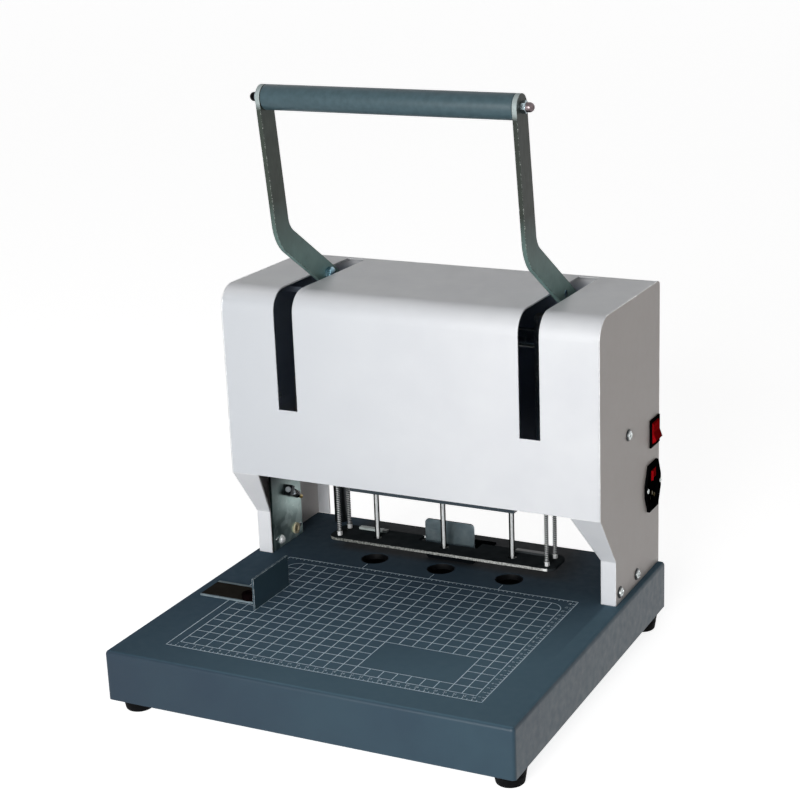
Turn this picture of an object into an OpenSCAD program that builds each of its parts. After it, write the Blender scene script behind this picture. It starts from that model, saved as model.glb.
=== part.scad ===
// Electric three-hole paper drilling machine with a pull-down lever, for binding stacks of paper.
// X runs to the right, Y to the back and Z up. The origin is on the table, under the middle of the base.
// Every sub-part is drawn above the deck, the top face of the base, and lifted by deck_z.

/* [Base] */
// Width of the base tray
base_w = 450; // [444:1:480]
// Depth of the base tray
base_d = 424; // [416:1:460]
// Height of the base tray
base_h = 53.5; // [44:0.5:80]
// Sheet thickness of the base tray
base_t = 2; // [1.5:0.1:3]
// Outer bend radius of the tray's edges
base_bend = 4; // [3.2:0.1:6]
// Height of the rubber feet
foot_h = 18; // [14:0.5:26]
// Radius of a foot where it meets the base
foot_r = 17; // [14:0.5:17]
// Radius of a foot on the table
foot_tip_r = 14; // [11:0.5:14]
// Distance from the base's sides to a foot's centre
foot_inset_x = 17.5; // [17.5:0.5:24]
// Distance from the base's front and back to a foot's centre
foot_inset_y = 28; // [24:1:36]
// Radius of a foot screw's shank
foot_screw_r = 2.5; // [2:0.1:3]

/* [Cover] */
// Width over the two side covers
cover_w = 434; // [426:1:440]
// Depth from the front panel to the back edge
cover_d = 180.4; // [176:0.2:186]
// Distance from the base's back edge to the cover's back
cover_inset = 1; // [0.5:0.1:3]
// Height of the cover above the deck
cover_h = 321; // [318:1:340]
// Sheet thickness of the covers
cover_t = 1.5; // [1:0.1:2]
// Bend radius between front panel and top
cover_bend = 24; // [14:1:30]
// Bend radius between top and rear panel
cover_rear_bend = 6; // [4:0.5:12]
// Height of the front panel's lower edge above the deck
lip_h = 111; // [104:1:118]
// Distance from the front panel back to the legs
leg_setback = 44.6; // [40:0.2:48]
// Height of the straight part of the legs
leg_h = 49.7; // [40:0.1:60]
// Width of the legs' front flange
leg_flange = 17; // [14:0.5:17]
// Width of the sloped flange at the front panel
slope_flange = 33; // [24:0.5:40]

/* [Frames] */
// Space between a side cover's face and the inner frame
frame_gap = 17; // [15:0.5:18]
// Thickness of an inner frame
frame_t = 3; // [2:0.5:4]
// Depth of an inner frame at its foot
frame_d = 63; // [58:1:66]
// Height of the lower side cover screws
cover_screw_low = 12; // [11:0.5:14]
// Height of the upper side cover screws
cover_screw_high = 178; // [160:1:184]
// Spacing of the two lower side cover screws
cover_screw_span = 52; // [44:1:53]
// Radius of a side cover screw's shank
cover_screw_r = 2.5; // [2:0.1:3]
// Radius of a guide column
column_r = 8; // [7:0.5:8.5]

/* [Lever] */
// Distance from the middle to a lever arm's centre plane
arm_x = 141; // [139:0.5:143]
// Thickness of a lever arm
arm_t = 5; // [4:0.5:8]
// Width of a lever arm
arm_w = 26; // [24:0.5:30]
// Radius of a lever arm around the shaft
arm_hub_r = 22; // [18:0.5:23]
// Width of the slots in the cover
slot_w = 23; // [22:0.5:24]
// Height of the slots' lower end
slot_low = 190; // [180:1:194]
// Distance from the cover's back to the slots' rear end
slot_back = 12; // [10:0.5:14]
// Distance from the cover's back to the lever shaft
pivot_inset = 39; // [38:0.5:40]
// Distance from the cover's top down to the lever shaft
pivot_drop = 66; // [60:0.5:70]
// Knee of the arms, forward of the shaft and above it
knee = [16.5, 45.7];
// Elbow of the arms, forward of the shaft and above it
elbow = [133, 125];
// Grip, forward of the shaft and above it
grip = [152.5, 272];
// Bend radius of the arms' centre line at the elbow
arm_bend = 35; // [28:1:45]
// Outer diameter of the grip tube
grip_d = 26; // [24:0.5:30]
// Wall of the grip tube
grip_wall = 2; // [1.5:0.1:3]
// Radius of the tie rod through the grip
tie_r = 3.5; // [3:0.25:4]
// Radius of the lever shaft
shaft_r = 11; // [10:0.5:11.5]
// How far the lever is pulled forward from rest, in degrees
lever_forward = 62; // [50:1:62]
// How far the lever is pushed back from rest, in degrees
lever_back = 35; // [20:1:35]

/* [Rack drive] */
// Module of the rack and pinion
gear_module = 2.5; // [2.4:0.05:2.6]
// Number of teeth on a pinion
pinion_teeth = 20; // [19:1:20]
// Width of rack and pinion
gear_w = 14; // [10:0.5:16]
// Distance from the middle to the inner side of rack and pinion
gear_x = 105; // [104.5:0.5:107]
// Play between meshing teeth, along the pitch line
backlash = 0.3; // [0.2:0.02:0.4]

/* [Drilling] */
// Spacing of the three drill bits
bit_pitch = 82.7; // [80:0.1:83.5]
// Distance from the front panel back to the bits
bit_setback = 81.4; // [79:0.2:83]
// Outer radius of a hollow bit
bit_r = 3; // [2.5:0.1:3.5]
// Wall of a hollow bit
bit_wall = 1; // [0.7:0.05:1.2]
// Height of the bits' tips above the deck at rest
tip_z = 20.5; // [20:0.1:24]
// Diameter of the holes in the deck
hole_d = 31; // [30:0.5:40]
// How far the holes' centres lie in front of the bits
pad_offset = 9.5; // [0:0.5:11]
// Depth of the drill pads' tops below the deck
pad_depth = 7; // [6.9:0.1:10]
// Thickness of a drill pad
pad_t = 7; // [4:0.5:12]

/* [Drill head] */
// Length of the spindle bar left of the middle
bar_left = 107; // [96:0.5:114]
// Length of the spindle bar right of the middle
bar_right = 93; // [92:0.5:114]
// Depth of the spindle bar
bar_d = 32; // [28:1:34]
// Height of the spindle bar
bar_h = 11; // [8:0.5:14]
// Height of the spindle bar's underside above the deck
bar_z = 80; // [74:0.5:81]
// Thickness of the crossbeam
beam_t = 10; // [8:0.5:14]
// Radius of a spindle
spindle_r = 6; // [5:0.25:6.5]
// Radius of a pulley's belt face
pulley_r = 17.7; // [14:0.1:18]
// Width of a belt
belt_w = 6; // [5:0.5:6]
// Thickness of a belt
belt_t = 2; // [1.5:0.1:2]
// Height of the spacers between crossbeam and top plate
spacer_h = 30; // [29:0.5:36]
// Thickness of the top plate
top_t = 6; // [5:0.5:8]
// Radius of the motor housing
motor_r = 44; // [38:0.5:45]
// Height of the motor housing
motor_h = 88; // [80:1:88]

/* [Press plate] */
// Length of the press plate
plate_w = 276; // [270:1:284]
// Depth of the press plate
plate_d = 41.5; // [38:0.5:46]
// Thickness of the press plate
plate_t = 3; // [2:0.5:4]
// Height of the press plate above the deck at rest
plate_gap = 19; // [18.6:0.1:20]
// Spacing of the press rods along X
rod_span_x = 254; // [252:1:256]
// Spacing of the press rods along Y
rod_span_y = 23.5; // [20:0.5:24]
// Radius of a press rod
rod_r = 1.6; // [1.5:0.1:1.8]
// Wire diameter of a press spring
wire_d = 0.9; // [0.8:0.05:1]
// Radius of a press spring, to the middle of its wire
coil_r = 2.6; // [2.5:0.05:2.8]
// Number of curls in each press spring
coil_turns = 22; // [12:1:22]

/* [Side gauge and back stop] */
// Distance from the middle to the side gauge's face
gauge_x = 134.5; // [130:0.5:160]
// Length of the side gauge's plate
gauge_len = 71; // [60:1:90]
// Height of the side gauge's plate
gauge_h = 35; // [25:1:45]
// Back end of the side gauge's plate, from the base's middle
gauge_back = 1; // [-10:0.5:10]
// Length of the gauge's foot on the deck
gauge_foot_l = 76.5; // [70:0.5:84]
// Width of the gauge's foot on the deck
gauge_foot_w = 38.5; // [30:0.5:50]
// Sheet thickness of gauge and stop
gauge_t = 2; // [1.5:0.1:3]
// Radius of the clamp knob
knob_r = 8; // [6:0.5:12]
// Height of the clamp knob
knob_h = 8; // [6:0.5:14]
// Travel of the side gauge to the left
gauge_travel_out = 42; // [20:1:42]
// Travel of the side gauge to the right
gauge_travel_in = 7; // [0:0.5:7]
// Width of the back stop
stop_w = 60; // [40:1:66]
// Height of the back stop
stop_h = 47; // [30:1:50]
// Distance from the bits back to the stop's face
stop_setback = 15; // [14:0.5:20]
// Travel of the back stop forward
stop_travel_front = 4; // [0:0.5:4]
// Travel of the back stop backward
stop_travel_back = 24; // [10:1:24]

/* [Switch and inlet] */
// Width and height of the rocker switch's bezel
switch_size = [28.5, 31];
// Distance from the cover's back to the rocker switch's centre
switch_inset = 17.5; // [17:0.5:20]
// Height of the rocker switch's centre above the deck
switch_z = 157.5; // [150:0.5:160]
// How far a rocker turns between its two ends, in degrees
rocker_turn = 20; // [12:1:24]
// Distance from the cover's back to the inlet's centre
inlet_inset = 24.5; // [24:0.5:26]
// Height of the inlet's centre above the deck
inlet_z = 97.5; // [94:0.5:100]
// Width and height of the inlet's flange
inlet_size = [46, 53];
// Spacing of the inlet's two screws
inlet_span = 40; // [38:0.5:40]
// Depth of switch and inlet behind the side cover's face
socket_depth = 22; // [20:0.5:23]

/* [Hidden] */
$fn = 64;

// Clearances: a turning or sliding fit, a seated fit, and free air beside moving pieces
run_fit = 0.05;
seat_fit = 0.03;
air = 0.3;
// How far a cutting tool passes through the face that it cuts
past = 1;

// Colours
navy = "#3a4a57";
white = "#e3e6ea";
zinc = "#8f9a9c";
dark_steel = "#55605f";
steel = "#b9bec2";
black = "#1d2024";
red = "#c8202a";
brass = "#c2a14d";
alloy = "#aeb4b8";

// Base
deck_z = foot_h + base_h;
foot_x = base_w/2 - foot_inset_x;
foot_y = base_d/2 - foot_inset_y;
post_r = foot_screw_r + 4.5;
foot_head_r = foot_screw_r + 2;
foot_head_h = 3;
foot_recess = foot_h/2;

// Cover
cover_x = cover_w/2;
inner_x = cover_x - cover_t;
cover_back = base_d/2 - cover_inset;
cover_front = cover_back - cover_d;
wrap_back = cover_back - cover_t;
leg_y = cover_front + leg_setback;
flange_x = cover_x - leg_flange;
slope_x = cover_x - slope_flange;

// Inner frames
frame_x = cover_x - frame_gap;
frame_out = frame_x + frame_t;
frame_front = leg_y + 6;
frame_back = frame_front + frame_d;
frame_mid = (frame_front + frame_back)/2;
frame_top = cover_h - 12;
frame_waist = cover_screw_high + 12;
cover_screw_yz = [[frame_mid, cover_screw_high],
    [frame_mid - cover_screw_span/2, cover_screw_low], [frame_mid + cover_screw_span/2, cover_screw_low]];
frame_foot_x = inner_x - 2.5;
frame_bolt_r = 3;
frame_bolt_x = (frame_out + frame_foot_x)/2;
frame_bolt_y = [frame_front + 14, frame_back - 14];
grommet_y = frame_back - 15.2;
grommet_z = 11;
grommet_r = 5;
earth_y = grommet_y - 33;
earth_z = grommet_z - 2;
earth_r = 2;
earth_head_r = earth_r + 2.2;
earth_washer_r = earth_r + 3.4;
barrel_axis = 5;
barrel_z = 67;
barrel_tilt = 57;
barrel_r = 3.2;
barrel_len = 25;
barrel_lock_r = 4.4;
barrel_lock_len = 11;
plunger_r = 2.6;
plunger_len = 11;
clamp_half = 6;
clamp_from = 3;
clamp_to = 12;
column_x = cover_x - 41;
column_y = cover_back - 16;
column_screw_r = column_r/2;
bush_r = column_r + 3;
bracket_t = 6;
bracket_z = cover_h - 25;
bush_rise = 50;
arm_room = 2;

// Lever
pivot_y = cover_back - pivot_inset;
pivot_z = cover_h - pivot_drop;
arm_in = arm_x - arm_t/2;
arm_out = arm_x + arm_t/2;
bracket_in = arm_out + arm_room;
journal_r = shaft_r - 1;
shaft_bush_r = journal_r + 4;
knee_yz = [pivot_y - knee[0], pivot_z + knee[1]];
elbow_yz = [pivot_y - elbow[0], pivot_z + elbow[1]];
grip_yz = [pivot_y - grip[0], pivot_z + grip[1]];
arm_bolt_r = 4;
cap_len = 13;
cap_r = tie_r + 1.4;
tie_end = arm_out + cap_len - cap_r;
arm_bolt_yz = knee_yz + 0.245*(elbow_yz - knee_yz);

// Rack drive
pitch_r = gear_module*pinion_teeth/2;
pressure = 20;
addendum = 0.9*gear_module;
dedendum = 1.2*gear_module;
tooth_pitch = PI*gear_module;
tooth_half = (tooth_pitch/2 - backlash)/2;
head_down = pitch_r*lever_forward*PI/180;
head_up = pitch_r*lever_back*PI/180;
rack_y = pivot_y - pitch_r;
rack_d = 12.9;

// Drilling
bit_y = cover_front + bit_setback;
hole_y = bit_y - pad_offset;
bit_xs = [-bit_pitch, 0, bit_pitch];
return_x = (bracket_in + frame_x)/2;
return_y = bit_y + 23;
return_r = 7;
return_wire = 2;
cup_t = 2;
pad_r = hole_d/2 - air;

// Drill head
beam_z = bar_z + bar_h;
beam_top = beam_z + beam_t;
beam_front = bit_y - 22;
beam_back = column_y + bush_r;
beam_x = column_x + bush_r + 2;
bar_front = bit_y - bar_d/2;
top_z = beam_top + spacer_h;
motor_z = top_z + top_t;
pulley_lip = 1.5;
pulley_rim_r = pulley_r + air + belt_t;
pulley_h = belt_w + 2*(pulley_lip + air);
low_pulley_z = beam_top + 4;
high_pulley_z = low_pulley_z + pulley_h + 1;
collar_r = spindle_r + 1;
collar_h = 3.2;
bit_top = beam_top + 1;
spacer_r = 6;
spacer_front = [bit_pitch + pulley_rim_r + air + spacer_r + 3, beam_front + spacer_r + 1];
spacer_rear = [60, bit_y + pulley_rim_r + spacer_r + 4];

// Press plate
plate_top = plate_gap + plate_t;
plate_front = bit_y - 17.5;
plate_back = plate_front + plate_d;
plate_corner = 10;
rod_x = rod_span_x/2;
rod_ys = [bit_y + 3.25 - rod_span_y/2, bit_y + 3.25 + rod_span_y/2];
press_ratio = 8.2;
press_up = press_ratio*lever_forward*PI/180;
press_down = press_ratio*lever_back*PI/180;
nut_h = 4.5;
nut_r = rod_r + 1.7;
washer_t = 1;
washer_r = coil_r + wire_d;
lock_z = beam_top + press_down + 1;
rod_top = lock_z + nut_h + 3;
spring_z = plate_top + nut_h + washer_t;
rib_w = 6;
rib_h = 2.5;
rib_x0 = bit_pitch - 3;
rib_x1 = rod_x - nut_r - 9;

// Side gauge and back stop
slot_r = 3.3;
stud_r = 3;
gauge_foot_back = gauge_back - 20;
knob_x = gauge_x + knob_r + 10.5;
knob_y = gauge_foot_back - gauge_foot_w + 6.5;
gauge_nut_w = 14;
gauge_nut_h = 5;
stop_y = bit_y + stop_setback;
stop_corner = 5;
stop_foot_half = stop_w/2 - 2;
stop_screw_y = bit_y + 66;
notch_half = stop_w/2 + 6;
notch_front = stop_y - stop_travel_front - 1.5;
deck_screw_x = 60;
deck_screw_head = 4.5;

// Switch and inlet
bezel_t = 2;
rocker_pin_r = 1.5;
rocker_dip = 2.3;
rocker_tip = 8.5;
rocker_axis_x = cover_x - 3;
switch_y = cover_back - switch_inset;
switch_body_size = [switch_size[0] - 3.5, switch_size[1] - 3.5];
rocker_half = switch_size[1]/2 - 3.3;
rocker_w = switch_size[0] - 8;
inlet_y = cover_back - inlet_inset;
inlet_flange_t = 3;
inlet_body_size = [28, 48];
inlet_rocker_z = inlet_z + 14;
inlet_rocker_half = 10;
inlet_rocker_w = 11;
inlet_rocker_tip = 7;
plug_z = inlet_z - 10.5;
plug_size = [24, 16];
plug_depth = 17;
inlet_screw_r = 1.5;

// Lifts a sub-part from the deck to its height above the table
module on_deck() {
    translate([0, 0, deck_z]) children();
}

// A piece on the right and its mirror image on the left
module both_sides() {
    children();
    mirror([1, 0, 0]) children();
}

// Box between two corners
module block(low, high) {
    translate(low) cube(high - low);
}

// Upright cylinder
module post(x, y, z0, z1, r) {
    translate([x, y, z0]) cylinder(h = z1 - z0, r = r);
}

// Cylinder along X
module bar_x(x0, x1, y, z, r) {
    translate([x0, y, z]) rotate([0, 90, 0]) cylinder(h = x1 - x0, r = r);
}

// Hexagon prisms, upright and along X
module hex_post(x, y, z0, z1, r) {
    translate([x, y, z0]) cylinder(h = z1 - z0, r = r, $fn = 6);
}
module hex_bar_x(x0, x1, y, z, r) {
    translate([x0, y, z]) rotate([0, 90, 0]) cylinder(h = x1 - x0, r = r, $fn = 6);
}

// Sheet drawn in (Y, Z) and given its thickness along X
module side_sheet(x0, x1) {
    translate([x0, 0, 0]) rotate([90, 0, 90]) linear_extrude(x1 - x0) children();
}

// Rectangle with round corners
module round_rect_2d(w, d, r) {
    square([w - 2*r, d], center = true);
    square([w, d - 2*r], center = true);
    for (x = [-1, 1], y = [-1, 1]) translate([x*(w/2 - r), y*(d/2 - r)]) circle(r);
}

// Slot along X from the origin
module slot_2d(len, r) {
    circle(r);
    translate([len, 0]) circle(r);
    translate([0, -r]) square([len, 2*r]);
}

// Points on an arc, and the meeting point of two lines
arc_steps = 24;
function polar(r, a) = r*[cos(a), sin(a)];
function arc(c, r, a0, a1) = [for (i = [0 : arc_steps]) c + polar(r, a0 + (a1 - a0)*i/arc_steps)];
function cross_2d(u, v) = u[0]*v[1] - u[1]*v[0];
function meet(p, a, q, b) = p + polar(1, a)*cross_2d(q - p, polar(1, b))/cross_2d(polar(1, a), polar(1, b));
function heading(v) = atan2(v[1], v[0]);

// Box whose upper and upright edges are rounded
module soft_box(w, d, h, r) {
    x = w/2 - r;
    y = d/2 - r;
    block([-x, -y, 0], [x, y, h]);
    block([-w/2, -y, 0], [w/2, y, h - r]);
    block([-x, -d/2, 0], [x, d/2, h - r]);
    for (sx = [-1, 1], sy = [-1, 1]) {
        post(sx*x, sy*y, 0, h - r, r);
        translate([sx*x, sy*y, h - r]) sphere(r);
    }
    for (sy = [-1, 1]) bar_x(-x, x, sy*y, h - r, r);
    for (sx = [-1, 1]) translate([sx*x, y, h - r]) rotate([90, 0, 0]) cylinder(h = 2*y, r = r);
}

// Cup below a deck hole, which holds a drill pad
module pad_cup(x) {
    difference() {
        post(x, hole_y, -pad_depth - pad_t - cup_t, -base_t/2, hole_d/2 + cup_t);
        post(x, hole_y, -pad_depth - pad_t, past, hole_d/2);
    }
}

// Tray with the deck on top, skirts all round, posts for the foot screws and the three pad cups
module base_tray() color(navy) on_deck() {
    difference() {
        translate([0, 0, -base_h]) soft_box(base_w, base_d, base_h, base_bend);
        block([base_t - base_w/2, base_t - base_d/2, -base_h - past],
            [base_w/2 - base_t, base_d/2 - base_t, -base_t]);
        for (x = bit_xs) post(x, hole_y, -base_h, past, hole_d/2);
        for (sx = [-1, 1], y = frame_bolt_y)
            post(sx*frame_bolt_x, y, -base_h, past, frame_bolt_r + seat_fit);
        for (sx = [-1, 1]) post(sx*column_x, column_y, -base_h, past, column_screw_r + seat_fit);
        for (x = [-deck_screw_x, 0, deck_screw_x])
            post(x, stop_screw_y, -base_h, past, stud_r + seat_fit);
        translate([-knob_x - gauge_travel_out, knob_y, -base_t - past])
            linear_extrude(base_t + 2*past) slot_2d(gauge_travel_out + gauge_travel_in, slot_r);
    }
    for (x = bit_xs) pad_cup(x);
    for (sx = [-1, 1], sy = [-1, 1]) difference() {
        post(sx*foot_x, sy*foot_y, -base_h + base_t, -base_t/2, post_r);
        post(sx*foot_x, sy*foot_y, -base_h - past, -base_h/2, foot_screw_r + seat_fit);
    }
}

module bottom_plate() color(navy) on_deck() difference() {
    block([base_t + air - base_w/2, base_t + air - base_d/2, -base_h],
        [base_w/2 - base_t - air, base_d/2 - base_t - air, -base_h + base_t]);
    for (sx = [-1, 1], sy = [-1, 1])
        post(sx*foot_x, sy*foot_y, -base_h - past, -base_h + base_t + past, foot_screw_r + seat_fit);
}

// Tapered rubber foot with a recess for its screw
module feet() color(black) for (sx = [-1, 1], sy = [-1, 1]) translate([sx*foot_x, sy*foot_y, 0]) difference() {
    cylinder(h = foot_h, r1 = foot_tip_r, r2 = foot_r);
    post(0, 0, -past, foot_recess, foot_head_r + air);
    post(0, 0, 0, foot_h + past, foot_screw_r + seat_fit);
}

module foot_screws() color(zinc) for (sx = [-1, 1], sy = [-1, 1]) translate([sx*foot_x, sy*foot_y, 0]) {
    post(0, 0, foot_recess - foot_head_h, foot_recess, foot_head_r);
    post(0, 0, foot_recess - foot_head_h, foot_h + base_t + base_h/4, foot_screw_r);
}

module drill_pads() color(black) on_deck()
    for (x = bit_xs) post(x, hole_y, -pad_depth - pad_t, -pad_depth, pad_r);

// Outline of the cover in (Y, Z): square below, a front bend and a rear bend above
module arch_2d(y0, y1, z0, z1, front_r, rear_r) {
    translate([y0, z0]) square([y1 - rear_r - y0, z1 - front_r - z0]);
    translate([y0 + front_r, z0]) square([y1 - rear_r - y0 - front_r, z1 - z0]);
    translate([y1 - rear_r, z0]) square([rear_r, z1 - rear_r - z0]);
    translate([y0 + front_r, z1 - front_r]) circle(front_r);
    translate([y1 - rear_r, z1 - rear_r]) circle(rear_r);
}

// Side panel's outline, with the leg below the front panel cut back
module side_outline_2d() difference() {
    arch_2d(cover_front, cover_back, 0, cover_h, cover_bend, cover_rear_bend);
    polygon([[cover_front - past, -past], [leg_y, -past], [leg_y, leg_h], [cover_front, lip_h],
        [cover_front - past, lip_h]]);
}

// Folded strip along the leg's front and the slope, in (Y, Z)
module flange_strip_2d() {
    slope = [cover_front - leg_y, lip_h - leg_h];
    run = norm(slope);
    turn = atan2(-slope[0], slope[1]);
    miter = cover_t*tan(turn/2);
    across = cover_t*run/slope[1];
    polygon([[leg_y, 0], [leg_y, leg_h], [cover_front, lip_h], [cover_front + across, lip_h],
        [leg_y + cover_t, leg_h + miter], [leg_y + cover_t, 0]]);
}

// Right side cover without its cut-outs: panel, leg and slope flange, rear flange
module side_cover() {
    side_sheet(inner_x, cover_x) side_outline_2d();
    difference() {
        side_sheet(slope_x, inner_x) flange_strip_2d();
        translate([0, cover_back, 0]) rotate([90, 0, 0]) linear_extrude(cover_d)
            polygon([[0, -past], [flange_x, -past], [flange_x, leg_h], [slope_x, lip_h], [0, lip_h]]);
    }
    block([flange_x, wrap_back, 0], [inner_x, cover_back, cover_h - cover_rear_bend]);
}

module cover_screw_holes() {
    for (p = cover_screw_yz) bar_x(inner_x - past, cover_x + past, p[0], p[1], cover_screw_r + seat_fit);
}

module side_cover_left() color(white) on_deck() mirror([1, 0, 0]) difference() {
    side_cover();
    cover_screw_holes();
}

module side_cover_right() color(white) on_deck() difference() {
    side_cover();
    cover_screw_holes();
    translate([0, switch_y, switch_z]) block(
        [inner_x - past, -switch_body_size[0]/2 - seat_fit, -switch_body_size[1]/2 - seat_fit],
        [cover_x + past, switch_body_size[0]/2 + seat_fit, switch_body_size[1]/2 + seat_fit]);
    translate([0, inlet_y, inlet_z]) block(
        [inner_x - past, -inlet_body_size[0]/2 - seat_fit, -inlet_body_size[1]/2 - seat_fit],
        [cover_x + past, inlet_body_size[0]/2 + seat_fit, inlet_body_size[1]/2 + seat_fit]);
    for (s = [-1, 1])
        bar_x(inner_x - past, cover_x + past, inlet_y + s*inlet_span/2, inlet_z, inlet_screw_r + seat_fit);
}

// One sheet bent over the front, top and rear, slotted for the lever's arms
module wrap_cover() color(white) on_deck() difference() {
    side_sheet(-inner_x, inner_x) difference() {
        arch_2d(cover_front, wrap_back, lip_h, cover_h, cover_bend, cover_rear_bend);
        arch_2d(cover_front + cover_t, wrap_back - cover_t, lip_h - past, cover_h - cover_t,
            cover_bend - cover_t, cover_rear_bend - cover_t);
    }
    both_sides() block([arm_x - slot_w/2, cover_front - past, slot_low],
        [arm_x + slot_w/2, cover_back - slot_back, cover_h + past]);
}

// Pan head, washer and a shank that ends inside the frame
module cover_screws() color(zinc) on_deck() both_sides() for (p = cover_screw_yz) {
    bar_x(cover_x, cover_x + 1, p[0], p[1], cover_screw_r + 4);
    bar_x(cover_x, cover_x + 3.2, p[0], p[1], cover_screw_r + 2.4);
    bar_x(frame_x - 1, cover_x + 1, p[0], p[1], cover_screw_r);
}

module frame_spacers() color(zinc) on_deck() both_sides() for (p = cover_screw_yz) difference() {
    bar_x(frame_out, inner_x, p[0], p[1], cover_screw_r + 2.5);
    bar_x(frame_out - past, inner_x + past, p[0], p[1], cover_screw_r + seat_fit);
}

// Narrow leg below and a wide head that carries the lever shaft
module frame_outline_2d() {
    polygon([[frame_front, 0], [frame_back, 0], [frame_back, frame_waist],
        [pivot_y + shaft_bush_r + 14, pivot_z - shaft_bush_r - 16], [pivot_y + shaft_bush_r + 14, frame_top],
        [frame_front, frame_top]]);
}

module frame_plate() difference() {
    union() {
        side_sheet(frame_x, frame_out) frame_outline_2d();
        block([frame_x, frame_front, 0], [frame_foot_x, frame_back, frame_t]);
    }
    bar_x(frame_x - past, frame_out + past, pivot_y, pivot_z, shaft_bush_r + seat_fit);
    for (p = cover_screw_yz) bar_x(frame_x - past, frame_out + past, p[0], p[1], cover_screw_r + seat_fit);
    for (y = frame_bolt_y) post(frame_bolt_x, y, -past, frame_t + past, frame_bolt_r + seat_fit);
}

module frame_left() color(zinc) on_deck() mirror([1, 0, 0]) difference() {
    frame_plate();
    bar_x(frame_x - past, frame_out + past, grommet_y, grommet_z, grommet_r + seat_fit);
    bar_x(frame_x - past, frame_out + past, earth_y, earth_z, earth_r + seat_fit);
}

module frame_right() color(zinc) on_deck() frame_plate();

// Hexagon bolts through the frames' feet and the deck, with their nuts
module frame_bolts() color(zinc) on_deck() both_sides() for (y = frame_bolt_y) {
    hex_post(frame_bolt_x, y, frame_t, frame_t + 4, frame_bolt_r + 1.8);
    post(frame_bolt_x, y, -base_t - 6, frame_t + 4, frame_bolt_r);
    hex_post(frame_bolt_x, y, -base_t - 4, -base_t, frame_bolt_r + 1.8);
}

module shaft_bushes() color(brass) on_deck() both_sides() difference() {
    union() {
        bar_x(frame_x - air, frame_out + 8, pivot_y, pivot_z, shaft_bush_r);
        bar_x(frame_out, frame_out + 2, pivot_y, pivot_z, shaft_bush_r + 4);
    }
    bar_x(frame_x - past, frame_out + 8 + past, pivot_y, pivot_z, journal_r + run_fit);
}

// Shelves inside the frames that hold the columns' tops and the return springs
module column_brackets() color(zinc) on_deck() both_sides() difference() {
    block([bracket_in, return_y - return_r - arm_room, bracket_z],
        [frame_x, column_y + bush_r, bracket_z + bracket_t]);
    post(column_x, column_y, bracket_z - past, bracket_z + bracket_t + past, column_r + seat_fit);
}

module guide_columns() color(steel) on_deck() both_sides() difference() {
    post(column_x, column_y, 0, bracket_z + bracket_t, column_r);
    post(column_x, column_y, -past, 22, column_screw_r + seat_fit);
}

module column_screws() color(zinc) on_deck() both_sides() {
    hex_post(column_x, column_y, -base_t - 5, -base_t, column_screw_r + 3);
    post(column_x, column_y, -base_t - 5, 20, column_screw_r);
}

// Extension springs that lift the drill head, as plain sleeves inside the cover
module return_springs() color(dark_steel) on_deck() both_sides() difference() {
    post(return_x, return_y, beam_top, bracket_z, return_r);
    post(return_x, return_y, beam_top - past, bracket_z + past, return_r - return_wire);
}

// Pan head on z, with a shank through the deck
module pan_screw(x, y, z) {
    post(x, y, z, z + 3, deck_screw_head);
    post(x, y, -base_t - 6, z + 3, stud_r);
}

module deck_screws() color(steel) on_deck() {
    for (x = [-deck_screw_x, deck_screw_x]) pan_screw(x, stop_screw_y, 0);
    pan_screw(0, stop_screw_y, gauge_t + run_fit);
}

// Barrel switch clamped to the left frame, with its plunger pointing back and down
module limit_switch() color(black) on_deck()
    translate([barrel_axis - frame_x, frame_mid - barrel_axis, barrel_z]) rotate([barrel_tilt, 0, 0]) {
        block([-barrel_axis, -clamp_half, -clamp_to], [barrel_r + 0.2, clamp_half, -clamp_from]);
        post(0, 0, -barrel_len, 0, barrel_r);
        post(0, 0, -barrel_len, barrel_lock_len - barrel_len, barrel_lock_r);
        post(0, 0, -barrel_len - plunger_len, -barrel_len + barrel_lock_len/2, plunger_r);
    }

// Earthing screw on the left frame: a washer, a pan head and a shank in the sheet
module earth_screw() color(zinc) on_deck() {
    bar_x(-frame_x, -frame_x + 1, earth_y, earth_z, earth_washer_r);
    bar_x(-frame_x, -frame_x + 4.5, earth_y, earth_z, earth_head_r);
    bar_x(-frame_out, -frame_x + 1, earth_y, earth_z, earth_r);
}

module cable_grommet() color("#cbbf9c") on_deck() difference() {
    union() {
        bar_x(-frame_out, -frame_x + 2, grommet_y, grommet_z, grommet_r);
        bar_x(-frame_x, -frame_x + 2, grommet_y, grommet_z, grommet_r + 1.5);
    }
    bar_x(-frame_out - past, -frame_x + 2 + past, grommet_y, grommet_z, grommet_r - 1.5);
}

// Case and bezel of the rocker switch, with bearings for the rocker's pins
module switch_body() color(black) on_deck() translate([0, switch_y, switch_z]) difference() {
    union() {
        block([cover_x, -switch_size[0]/2, -switch_size[1]/2],
            [cover_x + bezel_t, switch_size[0]/2, switch_size[1]/2]);
        block([cover_x - socket_depth, -switch_body_size[0]/2, -switch_body_size[1]/2],
            [cover_x, switch_body_size[0]/2, switch_body_size[1]/2]);
    }
    block([rocker_axis_x - rocker_half, -rocker_w/2 - air, -rocker_half - air],
        [cover_x + bezel_t + past, rocker_w/2 + air, rocker_half + air]);
    translate([rocker_axis_x, 0, 0]) rotate([90, 0, 0])
        cylinder(h = rocker_w + 3.2, r = rocker_pin_r + run_fit, center = true);
}

// Flange with two ears, in (Y, Z)
module inlet_flange_2d() {
    w = inlet_size[0]/2;
    h = inlet_size[1]/2;
    polygon([[-w, -7], [-w*0.62, -h], [w*0.62, -h], [w, -7], [w, 7], [w*0.62, h], [-w*0.62, h], [-w, 7]]);
}

// Socket mouth for the mains plug, in (Y, Z), with two cut corners
module plug_2d() {
    w = plug_size[0]/2;
    h = plug_size[1]/2;
    polygon([[-w, h], [-w, 5 - h], [5 - w, -h], [w - 5, -h], [w, 5 - h], [w, h]]);
}

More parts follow.
